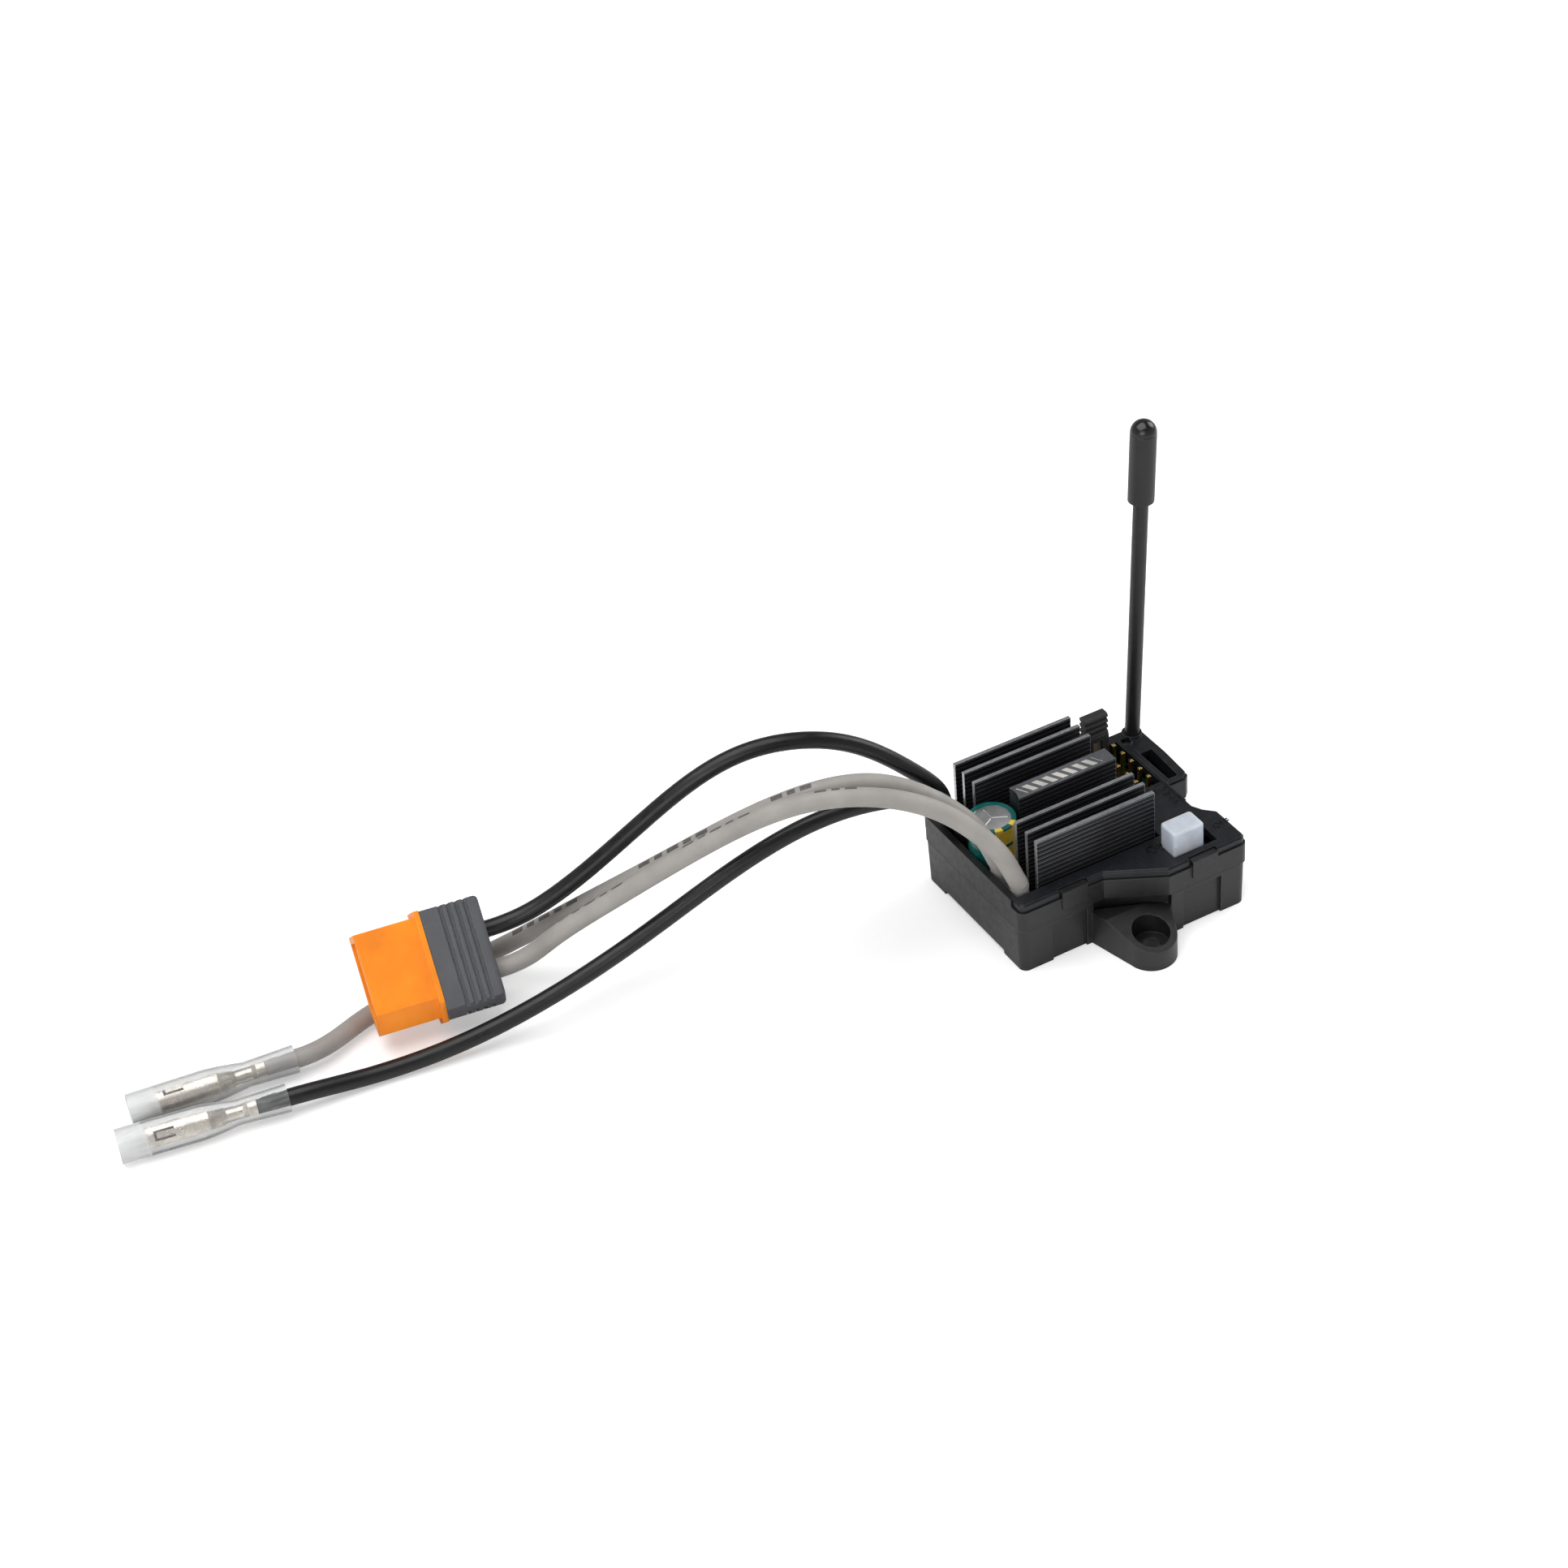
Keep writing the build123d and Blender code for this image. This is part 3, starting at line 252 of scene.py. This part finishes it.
def heat_sink_material():
    """Black anodised extrusion whose fin tops and sawn ends are bare, with a plain etched pattern, and with
    painted shade in each groove and a painted highlight on each lip of the ribs on the fins' faces.
    """
    g = Graph("heat_sink_anodised")
    bottom, top = low("heat_sink"), high("heat_sink")
    soft = g.rounded(0.06)
    cloud = g.noise(0.2, 5.0)
    drawn = g.noise(2.2, 4.0, stretch=(0.06, 1.6, 6.0), spot=5.0)
    black = g.mix(g.ramp(drawn, 0.3, 0.7, 0.0, 1.0), (0.018, 0.019, 0.022), (0.044, 0.046, 0.052))
    x, y, z = g.axis("X"), g.axis("Y"), g.axis("Z")
    painted_rib_phase = g.calculate("FRACT", g.calculate("DIVIDE", g.calculate("SUBTRACT", z, bottom.z), RIB_PITCH))
    upright = g.over(g.calculate("ABSOLUTE", g.facing("Y")), 0.5)
    # On the fins' upright faces: painted shade in each groove between the ribs, then a painted highlight on
    # the lip just above it.
    black = g.mix(g.times(upright, g.between(painted_rib_phase, 0.02, 0.30)), black, (0.006, 0.006, 0.007))
    black = g.mix(g.times(upright, g.between(painted_rib_phase, 0.40, 0.62)), black, (0.16, 0.165, 0.175))
    edge_width = 0.06
    sawn_left = g.under(x, bottom.x + edge_width)
    sawn_right = g.over(x, top.x - edge_width)
    crown = g.over(z, top.z - edge_width)
    bare = g.either(g.either(sawn_left, sawn_right), crown)

    # The wide middle fin keeps a darker satin crown with slanted bars cut through to bright metal.
    centre = middle("heat_sink").y
    offset = g.calculate("ABSOLUTE", g.calculate("SUBTRACT", y, centre))
    on_middle = g.times(crown, g.under(offset, CENTRE_FIN_HALF))
    slanted = g.plus(x, g.times(g.calculate("SUBTRACT", y, centre), 0.55))
    along = g.calculate("FRACT", g.calculate("DIVIDE", slanted, BAR_PITCH))
    bars = g.times(g.under(along, 0.55), g.under(offset, CENTRE_FIN_HALF * 0.55))
    bars = g.times(bars, g.between(slanted, bottom.x + 5.2, top.x - 2.6))
    scratch = g.noise(6.0, 3.0, stretch=(0.25, 2.0, 1.0), spot=19.0)
    silver = g.mix(g.ramp(scratch, 0.35, 0.65, 0.0, 1.0), (0.34, 0.35, 0.37), (0.62, 0.63, 0.65))
    satin = g.mix(g.ramp(scratch, 0.35, 0.65, 0.0, 1.0), (0.20, 0.21, 0.225), (0.30, 0.31, 0.33))
    bright = g.mix(g.ramp(cloud, 0.3, 0.7, 0.0, 1.0), (0.72, 0.70, 0.66), (0.86, 0.84, 0.78))
    crown_colour = g.mix(g.times(on_middle, bars), g.mix(on_middle, silver, satin), bright)
    g.set("Base Color", g.mix(bare, black, crown_colour))
    g.set("Metallic", g.ramp(bare, 0.0, 1.0, 0.55, 0.95))
    g.set("Roughness", g.plus(g.ramp(cloud, 0.3, 0.7, 0.30, 0.42), g.times(g.times(on_middle, bars), 0.12)))
    relief = g.plus(g.times(drawn, 0.7), g.times(scratch, g.times(bare, 0.6)))
    relief = g.calculate("SUBTRACT", relief, g.times(g.times(on_middle, bars), 0.8))
    g.set("Normal", g.bump(relief, 0.012, soft))
    return g


def sleeve_material():
    """Capacitor's heat-shrunk sleeve: teal, with a gold stripe that carries plain minus marks."""
    g = Graph("capacitor_sleeve_film")
    centre = middle("capacitor_sleeve")
    across = g.calculate("SUBTRACT", g.axis("X"), centre.x)
    along = g.calculate("SUBTRACT", g.axis("Y"), centre.y)
    angle = g.calculate("ARCTAN2", along, across)
    stripe_centre = math.radians(-80)
    away = g.calculate("ABSOLUTE", g.calculate("SUBTRACT", angle, stripe_centre))
    stripe = g.under(away, math.radians(34))
    height = g.calculate("FRACT", g.calculate("DIVIDE", g.axis("Z"), 3.4))
    minus = g.times(g.under(away, math.radians(14)), g.between(height, 0.42, 0.60))
    cloud = g.noise(0.6, 4.0)
    teal = g.mix(g.ramp(cloud, 0.3, 0.7, 0.0, 1.0), (0.002, 0.075, 0.066), (0.005, 0.13, 0.112))
    gold = g.mix(g.ramp(cloud, 0.3, 0.7, 0.0, 1.0), (0.55, 0.36, 0.035), (0.72, 0.52, 0.07))
    base = g.mix(stripe, teal, gold)
    base = g.mix(g.times(minus, stripe), base, (0.006, 0.09, 0.08))
    g.set("Base Color", base)
    g.set("Roughness", g.ramp(cloud, 0.3, 0.7, 0.18, 0.3))
    g.set("Coat Weight", 0.4)
    g.set("Normal", g.bump(g.noise(1.4, 4.0, stretch=(1, 1, 0.3)), 0.03, g.rounded(0.08)))
    return g


def can_material():
    """Drawn aluminium top, with cloudy tone and roughness over fine lines."""
    g = Graph("capacitor_can_aluminium")
    soft = g.rounded(0.12)
    cloud = g.noise(0.35, 4.0)
    lines = g.noise(5.0, 3.0, spot=11.0)
    g.set("Base Color", g.mix(g.ramp(cloud, 0.3, 0.7, 0.0, 1.0), (0.80, 0.805, 0.81), (0.93, 0.935, 0.94)))
    g.set("Metallic", 1.0)
    g.set("Roughness", g.ramp(cloud, 0.3, 0.7, 0.24, 0.36))
    g.set("Normal", g.bump(lines, 0.006, soft))
    return g


def silicone(name, colour, roughness, bloom):
    """Wire insulation: soft, slightly wavy, with a powdery bloom and faint rub marks."""
    g = Graph(name)
    wave = g.noise(0.22, 4.0)
    fine = g.noise(5.0, 3.0, spot=4.0)
    rub = g.noise(0.7, 5.0, stretch=(0.3, 1.0, 1.0), spot=23.0)
    base = g.mix(g.ramp(wave, 0.3, 0.7, 0.0, 1.0), shade(colour, 0.90), shade(colour, 1.08))
    base = g.mix(g.ramp(rub, 0.55, 0.75, 0.0, bloom), base, shade(colour, 1.5))
    g.set("Base Color", base)
    g.set("Roughness", g.ramp(rub, 0.3, 0.7, roughness - 0.06, roughness + 0.1))
    g.set("Specular IOR Level", 0.42)
    g.set("Normal", g.bump(g.plus(g.times(fine, 0.3), wave), 0.03))
    return g


def board_material():
    g = Graph("board_solder_mask")
    cloud = g.noise(0.3, 4.0)
    tracks = g.noise(1.3, 1.0, stretch=(1.0, 1.0, 0.01), spot=9.0)
    copper = g.between(tracks, 0.46, 0.5)
    base = g.mix(g.ramp(cloud, 0.3, 0.7, 0.0, 1.0), (0.004, 0.05, 0.028), (0.008, 0.085, 0.048))
    base = g.mix(g.times(copper, 0.6), base, (0.02, 0.15, 0.07))
    g.set("Base Color", base)
    g.set("Roughness", g.ramp(cloud, 0.3, 0.7, 0.28, 0.42))
    g.set("Coat Weight", 0.3)
    g.set("Normal", g.bump(tracks, 0.03, g.rounded(0.05)))
    return g


def milky_material():
    """Translucent switch cap: paler along its edges, faint swirls inside."""
    g = Graph("switch_cap_milky")
    soft = g.rounded(0.3)
    swirl = g.noise(0.55, 5.0, spot=2.0)
    grain = g.noise(6.0, 2.0, spot=8.0)
    base = g.mix(g.ramp(swirl, 0.3, 0.7, 0.0, 1.0), (0.50, 0.54, 0.60), (0.63, 0.67, 0.73))
    base = g.mix(g.times(g.edges(soft), 0.7), base, (0.84, 0.87, 0.91))
    g.set("Base Color", base)
    g.set("Roughness", g.ramp(swirl, 0.3, 0.7, 0.26, 0.40))
    g.set("Subsurface Weight", 0.85)
    g.set("Subsurface Radius", (0.7, 0.85, 1.0))
    g.set("Subsurface Scale", 2.2 * MM)
    g.set("Transmission Weight", 0.12)
    g.set("Normal", g.bump(grain, 0.012, soft))
    return g


def clear_material(name, node):
    """Clear flexible vinyl: see-through, with a frosted mouth, glossy streaks and a cloudy, uneven surface.
    """
    g = Graph(name)
    start = low(node).x
    cloud = g.noise(0.5, 5.0)
    streak = g.noise(1.2, 4.0, stretch=(0.25, 1.4, 1.4), spot=6.0)
    clear = g.add("ShaderNodeBsdfTransparent")
    clear.inputs["Color"].default_value = (0.982, 0.984, 0.985, 1.0)
    fresnel = g.add("ShaderNodeFresnel")
    fresnel.inputs["IOR"].default_value = 1.5
    relief = g.bump(g.plus(cloud, g.times(streak, 0.6)), 0.12)
    g.join(relief, fresnel.inputs["Normal"])
    mouth = g.ramp(g.axis("X"), start + 4.4, start + 4.9, 0.42, 0.0)
    haze = g.plus(g.ramp(streak, 0.45, 0.8, 0.02, 0.13), mouth)
    share = g.calculate("ADD", haze, g.times(fresnel.outputs[0], 0.8), clamp=True)
    g.set("Base Color", (0.90, 0.905, 0.91))
    g.set("Roughness", g.ramp(cloud, 0.3, 0.7, 0.10, 0.3))
    g.set("Specular IOR Level", 0.6)
    g.set("Normal", relief)
    blend = g.add("ShaderNodeMixShader")
    g.join(share, blend.inputs[0])
    g.join(clear.outputs[0], blend.inputs[1])
    g.join(g.shader.outputs[0], blend.inputs[2])
    g.join(blend.outputs[0], g.output.inputs["Surface"])
    return g


def floor_material():
    g = Graph("floor_paper")
    g.set("Base Color", g.mix(g.noise(0.02, 3.0), (0.885, 0.885, 0.885), (0.905, 0.905, 0.905)))
    g.set("Roughness", 0.75)
    g.set("Specular IOR Level", 0.12)
    g.set("Normal", g.bump(g.noise(0.8, 3.0), 0.004))
    seen = g.add("ShaderNodeLightPath").outputs["Is Camera Ray"]
    g.set("Emission Color", (1.0, 1.0, 1.0))
    g.set("Emission Strength", g.times(seen, 0.34))
    return g


def dress(graph, *nodes):
    """Give CAD nodes a finish in place of their plain one."""
    for name in nodes:
        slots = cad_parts[name].data.materials
        slots.clear()
        slots.append(graph.material)


def dress_case():
    """Case, cover, heat sink, switch cap, jumper and header."""
    dress(moulded("case_plastic", CASE_BLACK, (0.05, 0.05, 0.052), 0.37), "lower_case")
    dress(moulded("cover_plastic", COVER_BLACK, (0.05, 0.052, 0.058), 0.36, specular=0.4), "top_cover")
    dress(heat_sink_material(), "heat_sink")
    header = moulded("header_nylon", (0.010, 0.010, 0.011), (0.05, 0.05, 0.05), 0.5)
    dress(header, "header_base", "bind_switch", "switch_frame", "switch_slider", "bind_button")
    jumper = moulded("jumper_nylon", (0.016, 0.016, 0.018), (0.09, 0.09, 0.095), 0.48, grain=0.03)
    dress(jumper, "jumper_body")
    dress(milky_material(), "switch_knob")


def dress_board():
    """Board, its parts and everything metal inside the case."""
    dress(board_material(), "main_board", "receiver_module")
    chip = moulded("chip_epoxy", (0.018, 0.018, 0.019), (0.05, 0.05, 0.05), 0.55, soften=0.06)
    dress(chip, "power_mosfets", "motor_controller_chip", "bec_regulator")
    pad = moulded("thermal_pad_silicone", (0.42, 0.45, 0.5), (0.5, 0.52, 0.55), 0.7, grain=0.05)
    dress(pad, "thermal_pads")
    tin = metal("tinned_metal", (0.70, 0.70, 0.685), 0.34, grain=0.02)
    dress(tin, "receiver_shield", "capacitor_leads", "jumper_contact")
    dress(tin, "switch_terminals", "wire_solder_joints")
    ferrite = moulded("inductor_ferrite", (0.04, 0.04, 0.044), (0.09, 0.09, 0.09), 0.6, grain=0.05)
    dress(ferrite, "bec_inductor")
    ceramic = moulded("ceramic_body", (0.38, 0.28, 0.17), (0.6, 0.58, 0.54), 0.5, soften=0.1)
    dress(ceramic, "ceramic_capacitors")
    dress(can_material(), "capacitor_can")
    dress(sleeve_material(), "capacitor_sleeve")
    gold = metal("gold_plating", (0.93, 0.66, 0.24), 0.22, soften=0.1)
    dress(gold, "header_pins", "battery_plug_pins")
    dress(metal("switch_bridge_gold", (0.88, 0.66, 0.30), 0.3), "switch_contact")


def dress_aerial():
    tube = moulded("aerial_tube", (0.0075, 0.0075, 0.008), (0.05, 0.05, 0.05), 0.42, grain=0.012)
    dress(tube, "antenna_tube")
    dress(aerial_tip_material(), "antenna_tip")
    dress(metal("aerial_braid", (0.55, 0.52, 0.48), 0.4, grain=0.04), "antenna_wire")


def dress_cables():
    """Battery plug, bullet terminals, their sleeves and the wires."""
    dress(housing_material(), "battery_plug_housing")
    grip = moulded(
        "plug_grip", (0.088, 0.090, 0.098), (0.16, 0.16, 0.17), 0.62, grain=0.07, soften=0.3
    )
    dress(grip, "battery_plug_grip")
    nickel = metal("terminal_nickel", (0.80, 0.735, 0.65), 0.27, grain=0.03, brush=(0.4, 2, 2))
    dress(nickel, "motor_terminal_black", "motor_terminal_grey")
    for colour in ("black", "grey"):
        node = "motor_sleeve_" + colour
        dress(clear_material("sleeve_vinyl_" + colour, node), node)
    black = silicone("wire_black_silicone", (0.0058, 0.0058, 0.0062), 0.32, 0.2)
    dress(black, "battery_wire_black", "motor_wire_black")
    grey = silicone("wire_grey_silicone", (0.345, 0.328, 0.308), 0.5, 0.12)
    dress(grey, "battery_wire_grey", "motor_wire_grey")
    strands = metal("tinned_strands", (0.74, 0.58, 0.46), 0.36, grain=0.08, brush=(0.2, 3, 3))
    for name in ("battery_wire_black", "battery_wire_grey", "motor_wire_black", "motor_wire_grey"):
        dress(strands, name + "_core")


def aerial_tip_material():
    """Rubber cap: satin sleeve, glossy dome above the joint line."""
    g = moulded("aerial_cap_rubber", (0.011, 0.011, 0.0115), (0.05, 0.05, 0.05), 0.42, grain=0.015)
    dome = g.over(g.axis("Z"), high("antenna_tip").z - 2.4)
    g.set("Roughness", g.ramp(dome, 0.0, 1.0, 0.44, 0.13))
    return g


def housing_material():
    """Orange nylon, a little translucent, with a glow in thin walls."""
    g = moulded(
        "plug_orange_nylon", (0.98, 0.27, 0.006), (1.0, 0.42, 0.05), 0.42, grain=0.012, soften=0.3, dust=0.0
    )
    g.set("Subsurface Weight", 0.25)
    g.set("Subsurface Radius", (1.0, 0.4, 0.1))
    g.set("Subsurface Scale", 1.2 * MM)
    return g


# ---------------------------------------------------------------------------------------------
# Pieces added over the CAD
# ---------------------------------------------------------------------------------------------

def add_mesh(name, points, faces, graph, body="root"):
    """One visual piece from points in millimetres."""
    mesh = bpy.data.meshes.new(name)
    mesh.from_pydata([Vector(p) * MM for p in points], [], faces)
    mesh.update()
    mesh.materials.append(graph.material)
    piece = bpy.data.objects.new(name, mesh)
    bpy.context.scene.collection.objects.link(piece)
    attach(piece, body)
    return piece


def add_text(name, words, size, place, turn, graph, relief=0.07):
    """Raised generic lettering on the cover. place is the text's middle on the surface."""
    curve = bpy.data.curves.new(name + "_outline", "FONT")
    curve.body = words
    curve.size = size * MM
    curve.extrude = relief * MM
    curve.bevel_depth = 0.02 * MM
    curve.align_x = "CENTER"
    curve.align_y = "CENTER"
    source = bpy.data.objects.new(name + "_source", curve)
    bpy.context.scene.collection.objects.link(source)
    bpy.context.view_layer.update()
    mesh = bpy.data.meshes.new_from_object(source.evaluated_get(bpy.context.evaluated_depsgraph_get()))
    bpy.data.objects.remove(source)
    mesh.transform(Matrix.Translation(Vector(place) * MM) @ Matrix.Rotation(math.radians(turn), 4, "Z"))
    mesh.materials.clear()
    mesh.materials.append(graph.material)
    piece = bpy.data.objects.new(name, mesh)
    bpy.context.scene.collection.objects.link(piece)
    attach(piece, "root")
    return piece


def cover_marks():
    """Switch legends and generic channel marks moulded into the cover."""
    graph = moulded(
        "cover_marks", (0.004, 0.004, 0.005), (0.02, 0.02, 0.022), 0.2, grain=0.004, soften=0.03, dust=0.0
    )
    knob = middle("switch_knob")
    right = high("top_cover").x
    far = high("top_cover").y
    top = COVER_TOP
    add_text("mark_on", "ON", 2.6, (right - 15.5, knob.y + 1.3, top), 0, graph)
    add_text("mark_off", "OFF", 1.75, (right - 3.6, knob.y + 0.7, top), 0, graph)
    add_text("mark_channel_one", "1 2 3 4 5", 1.7, (right - 6.3, far - 18.4, top), -90, graph)
    add_text("mark_signal", "S", 1.9, (right - 9.9, far - 17.1, top), 0, graph)
    add_text("mark_plus", "+", 2.2, (right - 7.5, far - 17.1, top), 0, graph)


def centre_line(node, x0, x1, step):
    """Middle of a wire's section at even steps along X, found from its CAD mesh."""
    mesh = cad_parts[node].data
    verts = [v.co / MM for v in mesh.vertices]
    edges = [(verts[e.vertices[0]], verts[e.vertices[1]]) for e in mesh.edges]
    points = []
    count = int(round((x1 - x0) / step))
    for k in range(count + 1):
        x = x0 + k * step
        hits = []
        for a, b in edges:
            if (a.x - x) * (b.x - x) < 0:
                hits.append(a.lerp(b, (x - a.x) / (b.x - a.x)))
        lowest = Vector([min(p[i] for p in hits) for i in range(3)])
        highest = Vector([max(p[i] for p in hits) for i in range(3)])
        points.append((lowest + highest) / 2)
    return points


def wire_print(node, radius, x0, x1, turn, graph):
    """Plain printed dashes along a wire, in groups, in place of lettering."""
    step = 0.5
    line = centre_line(node, x0, x1, step)
    points = []
    faces = []
    place = 0.0
    index = 0
    length = (len(line) - 1) * step
    while place < length - DASH_CLEARANCE:
        size = DASHES[index % len(DASHES)]
        if index % 2 == 0:
            add_dash(points, faces, line, step, place, place + size, radius, turn, DASH_HALF_ANGLE)
        place += size
        index += 1
    return add_mesh(node + "_print", points, faces, graph)


def add_dash(points, faces, line, step, start, end, radius, turn, half_angle):
    """A thin curved patch on the wire between two distances along X."""
    rows = 4
    columns = 4
    first = len(points)
    for i in range(rows + 1):
        place = (start + (end - start) * i / rows) / step
        k = min(int(place), len(line) - 2)
        centre = line[k].lerp(line[k + 1], place - k)
        along = (line[k + 1] - line[k]).normalized()
        upward = (Vector((0, 0, 1)) - along * along.z).normalized()
        sideways = along.cross(upward)
        for j in range(columns + 1):
            angle = turn + half_angle * (2 * j / columns - 1)
            out = upward * math.cos(angle) + sideways * math.sin(angle)
            points.append(centre + out * (radius + DASH_LIFT))
    for i in range(rows):
        for j in range(columns):
            a = first + i * (columns + 1) + j
            faces.append((a, a + 1, a + columns + 2, a + columns + 1))


def wire_prints():
    graph = Graph("wire_print_ink")
    ink = graph.noise(3.0, 3.0)
    share = graph.ramp(ink, 0.3, 0.7, 0.0, 1.0)
    graph.set("Base Color", graph.mix(share, (0.07, 0.066, 0.062), (0.13, 0.122, 0.115)))
    graph.set("Roughness", graph.ramp(ink, 0.3, 0.7, 0.45, 0.6))
    graph.set("Normal", graph.bump(ink, 0.01))
    wire_print("battery_wire_grey", GREY_RADIUS, -82, -28, math.radians(-20), graph)
    wire_print("motor_wire_grey", GREY_RADIUS, -86, -30, math.radians(10), graph)


dress_case()
dress_board()
dress_aerial()
dress_cables()
cover_marks()
wire_prints()


# ---------------------------------------------------------------------------------------------
# Floor, light and camera
# ---------------------------------------------------------------------------------------------

FLOOR_HALF = 2500
FLOOR_DROP = 0.02           # keeps the floor clear of the case's underside


def add_floor():
    half = FLOOR_HALF
    corners = [(-half, -half, 0), (half, -half, 0), (half, half, 0), (-half, half, 0)]
    mesh = bpy.data.meshes.new("floor")
    mesh.from_pydata([Vector(c) * MM for c in corners], [], [(0, 1, 2, 3)])
    mesh.materials.append(floor_material().material)
    floor = bpy.data.objects.new("floor", mesh)
    floor.location.z = -FLOOR_DROP * MM
    bpy.context.scene.collection.objects.link(floor)


def add_softbox(name, place, aim, width, height, power, tint=(1, 1, 1)):
    data = bpy.data.lights.new(name, "AREA")
    data.shape = "RECTANGLE"
    data.size = width * MM
    data.size_y = height * MM
    data.energy = power
    data.color = tint
    lamp = bpy.data.objects.new(name, data)
    lamp.location = Vector(place) * MM
    away = (Vector(place) - Vector(aim)).normalized()
    lamp.rotation_euler = away.to_track_quat("Z", "Y").to_euler()
    bpy.context.scene.collection.objects.link(lamp)
    return lamp


SKY_FADE_HEIGHT = 0.7       # sine of the height where the sky stops getting darker
SKY_AT_HORIZON = 0.62
SKY_OVERHEAD = 0.12


def add_surroundings():
    """White studio: bright near the horizon, darker overhead."""
    world = bpy.data.worlds.new("studio")
    world.use_nodes = True
    nodes = world.node_tree.nodes
    links = world.node_tree.links
    background = nodes["Background"]
    direction = nodes.new("ShaderNodeTexCoord")
    split = nodes.new("ShaderNodeSeparateXYZ")
    links.new(direction.outputs["Generated"], split.inputs[0])
    fade = nodes.new("ShaderNodeMapRange")
    fade.inputs["From Min"].default_value = 0.0
    fade.inputs["From Max"].default_value = SKY_FADE_HEIGHT
    fade.inputs["To Min"].default_value = SKY_AT_HORIZON
    fade.inputs["To Max"].default_value = SKY_OVERHEAD
    links.new(split.outputs["Z"], fade.inputs["Value"])
    links.new(fade.outputs["Result"], background.inputs["Strength"])
    background.inputs["Color"].default_value = (1.0, 1.0, 1.0, 1.0)
    bpy.context.scene.world = world


CAMERA_PLACE = (-220.295, -327.930, 343.187)
CAMERA_HEADING = 0.449862   # radians, clockwise from +Y seen from above
CAMERA_TILT = 0.657111      # radians below level
CAMERA_ROLL = -0.0987032    # radians about the line of sight
CAMERA_LENS = 74.53


def add_camera():
    """Camera above and to the left of the near side, turned a little about its own axis."""
    heading = CAMERA_HEADING
    tilt = CAMERA_TILT
    roll = CAMERA_ROLL
    forward = Vector(
        (math.sin(heading) * math.cos(tilt), math.cos(heading) * math.cos(tilt), -math.sin(tilt))
    )
    level_right = Vector((math.cos(heading), -math.sin(heading), 0))
    level_up = level_right.cross(forward)
    right = level_right * math.cos(roll) + level_up * math.sin(roll)
    up = level_up * math.cos(roll) - level_right * math.sin(roll)
    place = Vector(CAMERA_PLACE)
    data = bpy.data.cameras.new("camera")
    data.sensor_width = 36.0
    data.lens = CAMERA_LENS
    data.clip_start = 10 * MM
    data.clip_end = 20000 * MM
    camera = bpy.data.objects.new("camera", data)
    axes = Matrix((right, up, -forward)).transposed().to_4x4()
    camera.matrix_world = Matrix.Translation(place * MM) @ axes
    bpy.context.scene.collection.objects.link(camera)
    bpy.context.scene.camera = camera


add_floor()
add_softbox("overhead", (-260, 60, 900), (-30, 20, 0), 1000, 1000, 8.5)
add_softbox("front_left", (-700, -700, 420), (-30, 20, 10), 700, 500, 2.6)
add_softbox("right_rim", (620, 40, 420), (0, 20, 10), 420, 420, 2.2)
add_surroundings()
add_camera()
bpy.context.scene.view_settings.view_transform = "Standard"
